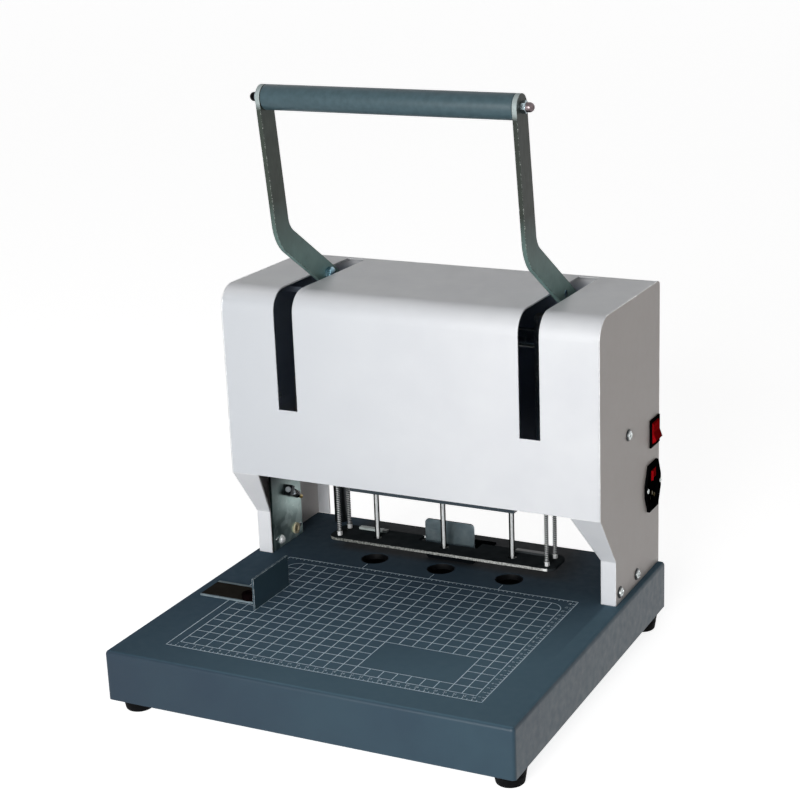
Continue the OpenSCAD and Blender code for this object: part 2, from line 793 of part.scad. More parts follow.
module inlet_body() color(black) on_deck() translate([0, inlet_y, inlet_z]) difference() {
    union() {
        side_sheet(cover_x, cover_x + inlet_flange_t) inlet_flange_2d();
        block([cover_x - socket_depth, -inlet_body_size[0]/2, -inlet_body_size[1]/2],
            [cover_x, inlet_body_size[0]/2, inlet_body_size[1]/2]);
    }
    translate([0, 0, plug_z - inlet_z])
        side_sheet(cover_x + inlet_flange_t - plug_depth, cover_x + inlet_flange_t + past) plug_2d();
    translate([0, 0, inlet_rocker_z - inlet_z]) {
        block([rocker_axis_x - inlet_rocker_half, -inlet_rocker_half - air, -inlet_rocker_w/2 - air],
            [cover_x + inlet_flange_t + past, inlet_rocker_half + air, inlet_rocker_w/2 + air]);
        translate([rocker_axis_x, 0, 0])
            cylinder(h = inlet_rocker_w + 3.2, r = rocker_pin_r + run_fit, center = true);
    }
    for (s = [-1, 1]) bar_x(cover_x - past, cover_x + inlet_flange_t + past, s*inlet_span/2, 0,
        inlet_screw_r + seat_fit);
}

// Two live pins and the earth pin, standing on the socket's floor
module inlet_pins() color(brass) on_deck() translate([0, inlet_y, plug_z])
    for (p = [[-7, -2], [7, -2], [0, 2]]) block(
        [cover_x + inlet_flange_t - plug_depth, p[0] - 1, p[1] - 2],
        [cover_x + inlet_flange_t - 2, p[0] + 1, p[1] + 2]);

module inlet_screws() color(zinc) on_deck() for (s = [-1, 1]) translate([0, inlet_y + s*inlet_span/2, inlet_z]) {
    bar_x(cover_x + inlet_flange_t, cover_x + inlet_flange_t + 1.5, 0, 0, inlet_screw_r + 1.2);
    bar_x(inner_x - 5, cover_x + inlet_flange_t + 1, 0, 0, inlet_screw_r);
}

// Outline of an arm in (Y, Z): round at the grip, bent at elbow and knee, and widened to the hub
module arm_outline_2d() {
    hub = [pivot_y, pivot_z];
    r = arm_w/2;
    upper = heading(elbow_yz - grip_yz);
    lower = heading(knee_yz - elbow_yz);
    last = heading(hub - knee_yz);
    flare = acos((r - arm_hub_r)/norm(hub - knee_yz));
    bend = meet(elbow_yz + polar(arm_bend, upper + 90), upper, elbow_yz + polar(arm_bend, lower + 90), lower);
    polygon(concat(
        arc(grip_yz, r, upper + 90, upper + 270),
        arc(bend, arm_bend + r, upper - 90, lower - 90),
        [meet(elbow_yz + polar(r, lower - 90), lower, knee_yz + polar(r, last - flare), last - flare + 90)],
        arc(hub, arm_hub_r, last - flare, last + flare),
        arc(knee_yz, r, last + flare, lower + 90),
        arc(bend, arm_bend - r, lower - 90, upper - 90)));
}

module lever_arm() difference() {
    side_sheet(arm_in, arm_out) arm_outline_2d();
    bar_x(arm_in - past, arm_out + past, pivot_y, pivot_z, shaft_r + seat_fit);
    bar_x(arm_in - past, arm_out + past, grip_yz[0], grip_yz[1], tie_r + seat_fit);
    bar_x(arm_in - past, arm_out + past, arm_bolt_yz[0], arm_bolt_yz[1], arm_bolt_r + seat_fit);
}

module lever_arm_left() color(dark_steel) on_deck() mirror([1, 0, 0]) lever_arm();

module lever_arm_right() color(dark_steel) on_deck() lever_arm();

module lever_shaft() color(steel) on_deck() {
    bar_x(-frame_x + 2*air, frame_x - 2*air, pivot_y, pivot_z, shaft_r);
    bar_x(-frame_out - 7, frame_out + 7, pivot_y, pivot_z, journal_r);
}

// Involute half-angle of a tooth at radius r, in degrees
function roll(r) = let (base = pitch_r*cos(pressure), a = r > base ? acos(base/r) : 0) tan(a)*180/PI - a;
function tooth_angle(r) = tooth_half/pitch_r*180/PI + roll(pitch_r) - roll(r);
flank_steps = 4;
flank_r = [for (i = [0 : flank_steps])
    pitch_r - dedendum + i/flank_steps*(addendum + dedendum)];

// Pinion outline with one tooth centred on its -X side
module pinion_2d() {
    polygon([for (i = [0 : pinion_teeth - 1]) let (mid = 180 + i*360/pinion_teeth) each concat(
        [for (r = flank_r) polar(r, mid - tooth_angle(r))],
        [for (k = [0 : flank_steps]) let (r = flank_r[flank_steps - k]) polar(r, mid + tooth_angle(r))])]);
}

module pinions() color(steel) on_deck() both_sides() difference() {
    union() {
        translate([0, pivot_y, pivot_z]) side_sheet(gear_x, gear_x + gear_w) pinion_2d();
        bar_x(gear_x + gear_w, arm_in - 8, pivot_y, pivot_z, shaft_r + 6);
    }
    bar_x(gear_x - past, arm_in, pivot_y, pivot_z, shaft_r + seat_fit);
}

// Bolts through the arms, with their heads on the inner faces
module arm_bolts() color(zinc) on_deck() both_sides() {
    hex_bar_x(arm_in - 6.5, arm_in, arm_bolt_yz[0], arm_bolt_yz[1], arm_bolt_r + 3.5);
    bar_x(arm_in - 6.5, arm_out, arm_bolt_yz[0], arm_bolt_yz[1], arm_bolt_r);
}

module tie_rod() color(steel) on_deck() bar_x(-tie_end, tie_end, grip_yz[0], grip_yz[1], tie_r);

// Cap nuts: a hexagon against the arm and a long dome
module cap_nuts() color(zinc) on_deck() both_sides() difference() {
    union() {
        hex_bar_x(arm_out, arm_out + 5.5, grip_yz[0], grip_yz[1], tie_r + 2.8);
        bar_x(arm_out, tie_end, grip_yz[0], grip_yz[1], cap_r);
        translate([tie_end, grip_yz[0], grip_yz[1]]) sphere(cap_r);
    }
    bar_x(arm_out - past, tie_end + seat_fit, grip_yz[0], grip_yz[1], tie_r + seat_fit);
}

// Tube between the arms, turning on the tie rod in its two plugged ends
module grip_tube() color(navy) on_deck() difference() {
    bar_x(-arm_in + air, arm_in - air, grip_yz[0], grip_yz[1], grip_d/2);
    bar_x(-arm_in + 12, arm_in - 12, grip_yz[0], grip_yz[1], grip_d/2 - grip_wall);
    bar_x(-arm_in, arm_in, grip_yz[0], grip_yz[1], tie_r + run_fit);
}

// Plate that carries the whole drill head and rides on the columns
module crossbeam() color(alloy) on_deck() difference() {
    block([-beam_x, beam_front, beam_z], [beam_x, beam_back, beam_top]);
    for (x = bit_xs) post(x, bit_y, beam_z - past, beam_top + past, spindle_r + 2);
    for (sx = [-1, 1], y = rod_ys) post(sx*rod_x, y, beam_z - past, beam_top + past, rod_r + run_fit);
    for (sx = [-1, 1]) post(sx*column_x, column_y, beam_z - past, beam_top + past, bush_r + seat_fit);
}

module spindle_bar() color(navy) on_deck() difference() {
    block([-bar_left, bar_front, bar_z], [bar_right, bar_front + bar_d, beam_z]);
    for (x = bit_xs) post(x, bit_y, bar_z - past, beam_z + past, spindle_r + run_fit);
}

// Upper bearing plate of the spindles, which the motor stands on
module top_plate() color(alloy) on_deck() difference() {
    union() {
        block([-gear_x + 3, beam_front, top_z], [gear_x - 3, spacer_rear[1] + spacer_r + 2, motor_z]);
        block([-spacer_front[0] - spacer_r, beam_front, top_z],
            [spacer_front[0] + spacer_r, spacer_front[1] + spacer_r, motor_z]);
    }
    for (x = bit_xs) post(x, bit_y, top_z - past, motor_z + past, spindle_r + run_fit);
}

module head_spacers() color(steel) on_deck() both_sides() for (p = [spacer_front, spacer_rear])
    post(p[0], p[1], beam_top, top_z, spacer_r);

// Toothed bars that stand on the crossbeam, in mesh with the pinions
module rack_2d() {
    low = pivot_z - head_up - 8;
    high = pivot_z + head_down + 8;
    first = ceil((low - pivot_z)/tooth_pitch - 0.5);
    last = floor((high - pivot_z)/tooth_pitch - 0.5);
    root = rack_y - dedendum;
    tip = rack_y + addendum;
    tip_half = tooth_half - addendum*tan(pressure);
    root_half = tooth_half + dedendum*tan(pressure);
    translate([root - rack_d, beam_top]) square([rack_d, high + tooth_half - beam_top]);
    for (i = [first : last]) let (z = pivot_z + (i + 0.5)*tooth_pitch)
        polygon([[root, z - root_half], [tip, z - tip_half], [tip, z + tip_half], [root, z + root_half],
            [root - 1, z + root_half], [root - 1, z - root_half]]);
}

module racks() color(steel) on_deck() both_sides() side_sheet(gear_x, gear_x + gear_w) rack_2d();

module column_bushes() color(brass) on_deck() both_sides() difference() {
    post(column_x, column_y, beam_z, beam_top + bush_rise, bush_r);
    post(column_x, column_y, beam_z - past, beam_top + bush_rise + past, column_r + run_fit);
}

// Closed can with the rotor's chamber and two bearing bores
module motor_housing() color(black) on_deck() translate([0, bit_y, motor_z]) difference() {
    cylinder(h = motor_h, r = motor_r);
    post(0, 0, 8, motor_h - 8, motor_r - 10);
    post(0, 0, -past, motor_h + past, spindle_r + run_fit);
}

// Flat belt around two equal pulleys, starting at x
module belt(x, z) translate([x, bit_y, z + pulley_lip + air]) linear_extrude(belt_w) difference() {
    slot_2d(bit_pitch, pulley_r + air + belt_t);
    slot_2d(bit_pitch, pulley_r + air);
}

module belts() color(black) on_deck() {
    belt(-bit_pitch, low_pulley_z);
    belt(0, high_pulley_z);
}

// Path of a press spring: a straight end, the curls, and a straight end
rings_per_curl = 8;
tube_sides = 6;
spring_h = beam_z - spring_z;
coil_h = spring_h - 2*wire_d;
coil_rings = coil_turns*rings_per_curl;
spring_path = concat([[coil_r, 0, 0]],
    [for (i = [0 : coil_rings]) let (a = 360*i/rings_per_curl)
        [coil_r*cos(a), coil_r*sin(a), wire_d + coil_h*i/coil_rings]],
    [[coil_r, 0, spring_h]]);
spring_last = len(spring_path) - 1;
function unit(v) = v/norm(v);
function path_dir(i) = i == 0 || i == spring_last ? [0, 0, 1]
    : unit(unit(spring_path[i + 1] - spring_path[i]) + unit(spring_path[i] - spring_path[i - 1]));
function path_out(i) = let (d = path_dir(i), p = spring_path[i], o = unit([p[0], p[1], 0])) unit(o - (o*d)*d);
function path_ring(i) = let (d = path_dir(i), o = path_out(i), s = cross(d, o))
    [for (k = [0 : tube_sides - 1]) let (a = 360*k/tube_sides)
        spring_path[i] + wire_d/2*(cos(a)*o + sin(a)*s)];
spring_points = [for (i = [0 : spring_last]) each path_ring(i)];
spring_faces = concat(
    [for (i = [0 : spring_last - 1], k = [0 : tube_sides - 1]) let (a = i*tube_sides + k,
        b = i*tube_sides + (k + 1)%tube_sides) each [[a, a + tube_sides, b], [b, a + tube_sides, b + tube_sides]]],
    [for (k = [1 : tube_sides - 2]) [0, k, k + 1]],
    [for (k = [1 : tube_sides - 2]) let (e = spring_last*tube_sides) [e, e + k + 1, e + k]]);
spring_gap = min([for (i = [0 : spring_last - 4], j = [i + 4 : min(i + 12, spring_last)])
    norm(spring_path[j] - spring_path[i])]) - wire_d;
echo(least_gap_between_spring_curls = spring_gap);

module press_springs() color(zinc) on_deck() for (sx = [-1, 1], y = rod_ys)
    translate([sx*rod_x, y, spring_z]) polyhedron(spring_points, spring_faces, convexity = 10);

// Strip that holds the paper down, drilled for bits and rods and notched for the back stop
module press_plate() color(steel) on_deck() difference() {
    translate([0, (plate_front + plate_back)/2, plate_gap])
        linear_extrude(plate_t) round_rect_2d(plate_w, plate_d, plate_corner);
    block([-notch_half, notch_front, plate_gap - past], [notch_half, plate_back + past, plate_top + past]);
    for (x = bit_xs) post(x, bit_y, plate_gap - past, plate_top + past, bit_r + 1.5);
    for (sx = [-1, 1], y = rod_ys) post(sx*rod_x, y, plate_gap - past, plate_top + past, rod_r + seat_fit);
}

module press_rods() color(steel) on_deck() for (sx = [-1, 1], y = rod_ys)
    post(sx*rod_x, y, plate_gap, rod_top, rod_r);

// Foot nuts with washers below the springs, and lock nuts above the crossbeam
module press_nuts() color(zinc) on_deck() for (sx = [-1, 1], y = rod_ys) {
    difference() {
        union() {
            hex_post(sx*rod_x, y, plate_top, plate_top + nut_h, nut_r);
            post(sx*rod_x, y, plate_top + nut_h, spring_z, washer_r);
        }
        post(sx*rod_x, y, plate_top - past, spring_z + past, rod_r + seat_fit);
    }
    difference() {
        hex_post(sx*rod_x, y, lock_z, lock_z + nut_h, nut_r);
        post(sx*rod_x, y, lock_z - past, lock_z + nut_h + past, rod_r + seat_fit);
    }
}

// Stiffening ribs on the press plate's rear edge
module press_ribs() color(zinc) on_deck() both_sides()
    block([rib_x0, plate_back - 3 - rib_w, plate_top], [rib_x1, plate_back - 3, plate_top + rib_h]);

module pulley(z) {
    post(0, 0, z, z + pulley_lip, pulley_rim_r);
    post(0, 0, z, z + pulley_h, pulley_r);
    post(0, 0, z + pulley_h - pulley_lip, z + pulley_h, pulley_rim_r);
}

// Spindle with a collar below the bar, its pulleys, and the bore for the bit
module spindle(x, pulleys, top, rotor) translate([x, bit_y, 0]) difference() {
    union() {
        post(0, 0, bar_z - air - collar_h, bar_z - air, collar_r);
        post(0, 0, bar_z - air - collar_h, top, spindle_r);
        for (z = pulleys) pulley(z);
        if (rotor) post(0, 0, motor_z + 12, motor_z + motor_h - 12, motor_r - 13);
    }
    post(0, 0, bar_z - collar_h - past, bit_top + seat_fit, bit_r + seat_fit);
}

spindle_top = motor_z + 2;
module spindle_left() color(steel) on_deck() spindle(-bit_pitch, [low_pulley_z], spindle_top, false);
module spindle_middle() color(steel) on_deck()
    spindle(0, [low_pulley_z, high_pulley_z], motor_z + motor_h + 3, true);
module spindle_right() color(steel) on_deck() spindle(bit_pitch, [high_pulley_z], spindle_top, false);

// Hollow bit with a ground edge at its tip
module bit(x) translate([x, bit_y, 0]) rotate_extrude() polygon([[bit_r - bit_wall, tip_z],
    [bit_r - bit_wall + 0.2, tip_z], [bit_r, tip_z + 4], [bit_r, bit_top], [bit_r - bit_wall, bit_top]]);

module bit_left() color(steel) on_deck() bit(-bit_pitch);
module bit_middle() color(steel) on_deck() bit(0);
module bit_right() color(steel) on_deck() bit(bit_pitch);

// Angle that the stack's left edge rests against; its foot lies on the deck
module side_gauge() color(navy) on_deck() difference() {
    union() {
        block([-gauge_x - gauge_t, gauge_back - gauge_len, 0], [-gauge_x, gauge_back, gauge_h]);
        block([-gauge_x - gauge_foot_l, gauge_foot_back - gauge_foot_w, 0], [-gauge_x, gauge_foot_back, gauge_t]);
    }
    post(-knob_x, knob_y, -past, gauge_t + past, stud_r + run_fit);
}

module gauge_nut() color(zinc) on_deck() difference() {
    translate([-knob_x, knob_y, -base_t - run_fit - gauge_nut_h]) linear_extrude(gauge_nut_h)
        square(gauge_nut_w, center = true);
    post(-knob_x, knob_y, -base_t - gauge_nut_h - past, 0, stud_r + run_fit);
}

module gauge_knob() color(black) on_deck() {
    post(-knob_x, knob_y, gauge_t + run_fit, gauge_t + run_fit + knob_h, knob_r);
    post(-knob_x, knob_y, -base_t - gauge_nut_h - 2, gauge_t + 1, stud_r);
}

// Upright plate behind the bits, with a slotted foot under its screw
module back_stop() color(zinc) on_deck() difference() {
    union() {
        translate([0, stop_y + gauge_t, 0]) rotate([90, 0, 0]) linear_extrude(gauge_t) {
            translate([0, stop_h/2]) round_rect_2d(stop_w, stop_h, stop_corner);
            translate([-stop_foot_half, 0]) square([2*stop_foot_half, stop_h/2]);
        }
        block([-stop_foot_half, stop_y, 0],
            [stop_foot_half, stop_screw_y + stop_travel_front + slot_r + 6, gauge_t]);
    }
    translate([0, stop_screw_y - stop_travel_back, -past]) rotate([0, 0, 90])
        linear_extrude(gauge_t + 2*past) slot_2d(stop_travel_back + stop_travel_front, slot_r);
}

// Rocker with round ends about its pin; x points out of the panel and y along the rocker
module rocker(half, w, tip) {
    rotate(rocker_turn/2) linear_extrude(w, center = true) intersection() {
        circle(half);
        polygon([[-half/2, -half], [tip, -half], [tip - rocker_dip, 0], [tip, half], [-half/2, half]]);
    }
    cylinder(h = w + 2.8, r = rocker_pin_r, center = true);
}

module main_rocker() color(red) on_deck()
    translate([rocker_axis_x, switch_y, switch_z]) rotate([90, 0, 0]) rocker(rocker_half, rocker_w, rocker_tip);

module inlet_rocker() color(red) on_deck()
    translate([rocker_axis_x, inlet_y, inlet_rocker_z]) rocker(inlet_rocker_half, inlet_rocker_w, inlet_rocker_tip);

base_tray();
bottom_plate();
feet();
foot_screws();
drill_pads();
side_cover_left();
side_cover_right();
wrap_cover();
cover_screws();
frame_spacers();
frame_left();
frame_right();
frame_bolts();
shaft_bushes();
column_brackets();
guide_columns();
column_screws();
return_springs();
deck_screws();
limit_switch();
earth_screw();
cable_grommet();
switch_body();
inlet_body();
inlet_pins();
inlet_screws();
lever_arm_left();
lever_arm_right();
lever_shaft();
pinions();
arm_bolts();
tie_rod();
cap_nuts();
grip_tube();
crossbeam();
spindle_bar();
top_plate();
head_spacers();
racks();
column_bushes();
motor_housing();
belts();
press_springs();
press_plate();
press_rods();
press_nuts();
press_ribs();
spindle_left();
spindle_middle();
spindle_right();
bit_left();
bit_middle();
bit_right();
side_gauge();
gauge_nut();
gauge_knob();
back_stop();
main_rocker();
inlet_rocker();
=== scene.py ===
import math

import bpy
import numpy as np
from mathutils import Euler, Matrix, Vector


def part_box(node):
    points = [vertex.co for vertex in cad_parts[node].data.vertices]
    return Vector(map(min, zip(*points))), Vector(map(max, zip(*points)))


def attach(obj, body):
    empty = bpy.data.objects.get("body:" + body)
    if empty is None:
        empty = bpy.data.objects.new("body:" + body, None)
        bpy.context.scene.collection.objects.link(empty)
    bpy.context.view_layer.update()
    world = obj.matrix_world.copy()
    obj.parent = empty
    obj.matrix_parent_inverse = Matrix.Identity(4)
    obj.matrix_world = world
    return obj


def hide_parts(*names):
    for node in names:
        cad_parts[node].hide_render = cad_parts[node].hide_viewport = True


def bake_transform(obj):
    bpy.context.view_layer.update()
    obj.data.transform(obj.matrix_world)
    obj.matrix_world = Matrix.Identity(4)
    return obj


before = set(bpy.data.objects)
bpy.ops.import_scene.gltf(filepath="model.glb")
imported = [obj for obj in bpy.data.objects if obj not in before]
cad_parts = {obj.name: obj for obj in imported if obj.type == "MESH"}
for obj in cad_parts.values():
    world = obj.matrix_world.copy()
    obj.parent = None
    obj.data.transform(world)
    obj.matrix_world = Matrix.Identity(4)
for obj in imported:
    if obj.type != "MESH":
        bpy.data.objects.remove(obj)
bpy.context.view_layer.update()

# Camera, floor and light
# The lens and place come from the ruler printed on the deck. A broad light in front, a little to the right,
# makes the front panel the brightest face, and weaker ones lift the top and the right side.
# The floor is matt paper, and the paper and the sky are white to camera, mirror and glass rays.
scene = bpy.context.scene
scene.view_settings.view_transform = "Standard"
camera = bpy.data.objects.new("camera", bpy.data.cameras.new("camera"))
scene.collection.objects.link(camera)
scene.camera = camera
camera.location = (0.81103, -1.52839, 0.83158)
camera.rotation_euler = Euler([math.radians(a) for a in (72.7345, 1.2630, 23.9879)])
camera.data.lens = 79.573
camera.data.sensor_width = 36
camera.data.shift_x = -0.12


def srgb(code):
    """Linear colour of an sRGB hex code."""
    parts = [int(code[i:i + 2], 16)/255 for i in (1, 3, 5)]
    return (*[c/12.92 if c <= 0.04045 else ((c + 0.055)/1.055)**2.4 for c in parts], 1.0)


def area_light(name, place, aim, size, power, colour="#ffffff"):
    """A square soft light at a place, aimed at a point."""
    light = bpy.data.objects.new(name, bpy.data.lights.new(name, "AREA"))
    light.data.size = size
    light.data.energy = power
    light.data.color = srgb(colour)[:3]
    light.location = place
    light.rotation_euler = (Vector(aim) - Vector(place)).to_track_quat("-Z", "Y").to_euler()
    scene.collection.objects.link(light)


area_light("front_softbox", place=(0.15, -2.65, 0.8), aim=(0, 0, 0.3), size=1.6, power=68)
area_light("right_softbox", place=(2.6, -0.4, 1.1), aim=(0, 0.1, 0.3), size=1.4, power=1.0, colour="#ffd0a8")
area_light("top_softbox", place=(0.2, 0.3, 2.6), aim=(0, 0, 0.2), size=2.0, power=1)


def feed(tree, node, inputs):
    """Sets a node's inputs, in order or by name or number. A socket is linked, a value is set."""
    for key, value in inputs.items() if isinstance(inputs, dict) else enumerate(inputs):
        if isinstance(value, bpy.types.NodeSocket):
            tree.links.new(value, node.inputs[key])
        else:
            node.inputs[key].default_value = value


def add(tree, kind, inputs=(), out=0, **settings):
    """Adds one shader node with its settings and inputs, and gives the output or outputs asked for."""
    made = tree.nodes.new("ShaderNode" + kind)
    for key, value in settings.items():
        setattr(made, key, value)
    feed(tree, made, inputs)
    return made.outputs[out]


def opened(look):
    """Tree, shader and coordinates of a material, then coordinates and normal split along X, Y and Z."""
    tree = look.node_tree
    coords = add(tree, "TexCoord", out="Object")
    place = add(tree, "SeparateXYZ", [coords], slice(3))
    normal = add(tree, "SeparateXYZ", [add(tree, "NewGeometry", out="Normal")], slice(3))
    return tree, tree.nodes["Principled BSDF"], coords, place, normal


def new_look(name):
    """A new material, and all that opened gives for it."""
    made = bpy.data.materials.new(name)
    made.use_nodes = True
    return made, *opened(made)


def seen_white(tree, least, most):
    """Strength of a white surround: most where camera, mirror or glass rays see it, and least otherwise."""
    seen = 0.0
    for ray in ("Is Camera Ray", "Is Glossy Ray", "Is Transmission Ray"):
        seen = add(tree, "Math", [seen, add(tree, "LightPath", out=ray)], operation="ADD", use_clamp=True)
    return add(tree, "MapRange", [seen, 0, 1, least, most])


scene.world = bpy.data.worlds.new("studio")
scene.world.use_nodes = True
tree = scene.world.node_tree
feed(tree, tree.nodes["Background"], {"Color": srgb("#ffffff"), "Strength": seen_white(tree, 0.1, 1.0)})
bpy.ops.mesh.primitive_plane_add(size=60)
floor = bpy.context.object
floor.name = "floor"
paper, tree, shader, *_ = new_look("white_paper")
feed(tree, shader, {"Base Color": srgb("#cccccc"), "Roughness": 0.9, "Emission Color": srgb("#ffffff"),
                    "Emission Strength": seen_white(tree, 0.0, 0.85)})
floor.data.materials.append(paper)

# Base: tray, bottom plate and feet
# The tray is bent from one steel sheet, with three shallow cups pressed into its deck, and is powder coated.
# Turned rubber feet with a rounded rim and a groove are screwed on from below.
MM = 0.001
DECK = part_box("base_tray")[1][2]


def mottle(tree, coords, size, detail=3.0, stretch=(1, 1, 1)):
    """Uneven value between 0 and 1, in spots of about size millimetres that are drawn out along the axes."""
    drawn = add(tree, "Mapping", {"Vector": coords, "Scale": [1/s for s in stretch]})
    return add(tree, "TexNoise", {"Vector": drawn, "Scale": 1/(size*MM), "Detail": detail})


def fade(tree, value, low, high, first, second):
    """Colour from first to second, hex codes or sockets, as a value goes from low to high."""
    first, second = [srgb(c) if isinstance(c, str) else c for c in (first, second)]
    share = add(tree, "MapRange", [value, low, high])
    return add(tree, "Mix", {0: share, 6: first, 7: second}, 2, data_type="RGBA")


def zone(tree, *spans):
    """Product of spans: in each, a value from low to high becomes 0 to 1, or the two ends that it gives."""
    share = 1.0
    for span in spans:
        share = add(tree, "Math", [share, add(tree, "MapRange", span)], operation="MULTIPLY")
    return share


def soft_normal(tree, height, depth, radius):
    """Bumped normal over edges that are rounded off by radius; depth and radius are in millimetres."""
    rounded = add(tree, "Bevel", [radius*MM], samples=6)
    return add(tree, "Bump", {"Height": height, "Distance": depth*MM, "Normal": rounded})


def edge_mask(tree, radius, coords):
    """One along sharp edges, where the rounded normal leaves the flat one, broken up in 5 mm spots."""
    rounded = add(tree, "Bevel", [radius*MM], samples=6)
    flat = add(tree, "NewGeometry", out="Normal")
    agree = add(tree, "VectorMath", [rounded, flat], "Value", operation="DOT_PRODUCT")
    return zone(tree, (agree, 0.995, 0.93), (mottle(tree, coords, 5.0), 0.42, 0.62, 0.25, 1.0))


def powder_coat(name, colour, cloud, rubbed, rough=0.42, peel=1.1, radius=0.7, specular=0.5, bare=False):
    """Paint in 70 mm clouds with an orange-peel bump, uneven gloss and rubbed edges, metallic where bare."""
    made, tree, shader, coords, *_ = new_look(name)
    worn = edge_mask(tree, radius, coords)
    tint = fade(tree, mottle(tree, coords, 70.0), 0.35, 0.7, colour, cloud)
    feed(tree, shader, {
        "Base Color": fade(tree, worn, 0, 1, tint, rubbed),
        "Metallic": worn if bare else 0.0,
        "Specular IOR Level": specular,
        "Roughness": add(tree, "MapRange", [mottle(tree, coords, 9.0), 0.3, 0.7, rough - 0.06, rough + 0.06]),
        "Normal": soft_normal(tree, mottle(tree, coords, peel, 2.0), 0.05, radius)})
    return made


def plated(name, colour, cloud, rough=0.32, stretch=(1, 1, 1), metal=1.0, specular=0.5):
    """Metal in 14 mm clouds with fine streaks along the stretched axis, drawn 0.6 mm wide so that they show.
    Less metal than one stands for a dull, pale plating."""
    made, tree, shader, coords, *_ = new_look(name)
    streak = mottle(tree, coords, 0.6, 4.0, stretch)
    feed(tree, shader, {
        "Base Color": fade(tree, mottle(tree, coords, 14.0), 0.35, 0.68, colour, cloud),
        "Metallic": metal,
        "Specular IOR Level": specular,
        "Roughness": add(tree, "MapRange", [streak, 0.3, 0.7, rough - 0.07, rough + 0.09]),
        "Normal": soft_normal(tree, streak, 0.012, 0.4)})
    return made


def moulded(name, colour, cloud, rough=0.5, grain=0.7, depth=0.03, specular=0.5):
    """Plastic or rubber with a fine grain, from its mould, and slightly uneven colour and gloss."""
    made, tree, shader, coords, *_ = new_look(name)
    feed(tree, shader, {
        "Base Color": fade(tree, mottle(tree, coords, 6.0), 0.35, 0.7, colour, cloud),
        "Specular IOR Level": specular,
        "Roughness": add(tree, "MapRange", [mottle(tree, coords, 2.5), 0.3, 0.7, rough - 0.06, rough + 0.06]),
        "Normal": soft_normal(tree, mottle(tree, coords, grain), depth, 0.5)})
    return made


def linked(shader, name):
    """What a shader's input is linked to so far."""
    return shader.inputs[name].links[0].from_socket


def dress(look, *names):
    """Gives CAD nodes a material."""
    for name in names:
        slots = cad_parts[name].data.materials
        slots.clear()
        slots.append(look)


def skins(name, look, body, parts):
    """One mesh from stacks of rings. In each stack a ring is joined to the next with quads around it."""
    points, faces = [], []
    for rings in parts:
        rings = np.asarray(rings, float)
        rows, around = rings.shape[:2]
        first = sum(len(p) for p in points)
        i, k = np.meshgrid(np.arange(rows - 1), np.arange(around), indexing="ij")
        a = first + i*around + k
        b = first + i*around + (k + 1) % around
        faces += np.stack([a, b, b + around, a + around], -1).reshape(-1, 4).tolist()
        points.append(rings.reshape(-1, 3))
    mesh = bpy.data.meshes.new(name)
    mesh.from_pydata(np.concatenate(points).tolist(), [], faces)
    mesh.shade_smooth()
    mesh.materials.append(look)
    made = bpy.data.objects.new(name, mesh)
    scene.collection.objects.link(made)
    crisp = made.modifiers.new("crisp_edges", "EDGE_SPLIT")
    crisp.split_angle = math.radians(38)
    if body:
        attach(made, body)
    return made


def turned(profile, place, axis=(0, 0, 1), sides=48, limit=None):
    """Rings of a turned piece: every (radius, height) of the profile, in millimetres, is a circle at that
    height along the axis from place. A limit(angle) in millimetres cuts the radius, as flats on a nut do."""
    ahead = Vector(axis).normalized()
    out = ahead.orthogonal().normalized()
    angle = np.arange(sides)*2*np.pi/sides
    ring = np.outer(np.cos(angle), out) + np.outer(np.sin(angle), ahead.cross(out))
    radius, height = np.array(profile, float).T
    radius = np.minimum(radius[:, None], limit(angle) if limit else np.inf)
    return np.array(place) + MM*(height[:, None, None]*np.array(ahead) + radius[:, :, None]*ring)


# Navy powder coat has half gloss on the skirt and is dull on the deck. The deck is paler at its front and
# right and along its right edge, as painted light, and as painted shade darker towards the rear under the
# head, nearly black behind the press plate and black in the cups. The skirt is darker to the left, as painted
# shade.
navy_coat = powder_coat("navy_powder_coat", "#1f3949", "#274250", "#52697a", rough=0.4, specular=0.4)
tree, shader, _, (x, y, z), _ = opened(navy_coat)
deck_edge = (DECK - 1.0*MM, DECK - 0.2*MM)
# Painted light: the deck paler towards its front and right, and along its right edge.
painted_light_front = zone(tree, (y, 0.03, -0.2), (x, -0.21, -0.02, 0.3, 1.0))
painted_light_right = zone(tree, (y, 0.1, 0.02), (x, 0.02, 0.22, 0, 0.6))
painted_light_deck = add(tree, "Math", [painted_light_front, painted_light_right], operation="ADD")
painted_highlight_edge = zone(tree, (x, 0.203, 0.207, 0, 0.6))
painted_light_deck = add(tree, "Math", [painted_light_deck, painted_highlight_edge], operation="ADD", use_clamp=True)
# Painted shade: the deck darker towards the rear under the head and nearly black behind the press plate.
painted_shade_behind_press = zone(tree, (y, 0.11, 0.125), (x, -0.155, -0.13), (x, 0.155, 0.115))
deck_tint_painted_light_and_shade = fade(tree, y, 0.05, 0.14, "#223a4a", "#1a2e3c")
deck_tint_painted_light_and_shade = fade(tree, painted_shade_behind_press, 0, 1, deck_tint_painted_light_and_shade, "#03080e")
deck_tint_painted_light_and_shade = fade(tree, painted_light_deck, 0, 1, deck_tint_painted_light_and_shade, "#496473")
# Painted shade: the skirt darker to the left.
painted_shade_left_skirt = zone(tree, (x, -0.22, 0.15, 0.62, 0.0))
skirt_tint = fade(tree, painted_shade_left_skirt, 0, 1, linked(shader, "Base Color"), "#0a2033")
coat_tint = fade(tree, z, *deck_edge, skirt_tint, deck_tint_painted_light_and_shade)
aside = add(tree, "Math", [x], operation="ABSOLUTE")
# Painted shade: the cups black.
painted_shade_cups = zone(tree, (aside, 0.108, 0.107), (y, 0.082, 0.083), (y, 0.124, 0.123),
               (z, DECK - 0.3*MM, DECK - 0.8*MM))
deck_dull = zone(tree, (z, *deck_edge, 0.0, 0.55))
dull = add(tree, "Math", [linked(shader, "Roughness"), deck_dull], operation="ADD")
feed(tree, shader, {"Base Color": fade(tree, painted_shade_cups, 0, 1, coat_tint, "#07080a"), "Roughness": dull})
dress(navy_coat, "base_tray", "bottom_plate")
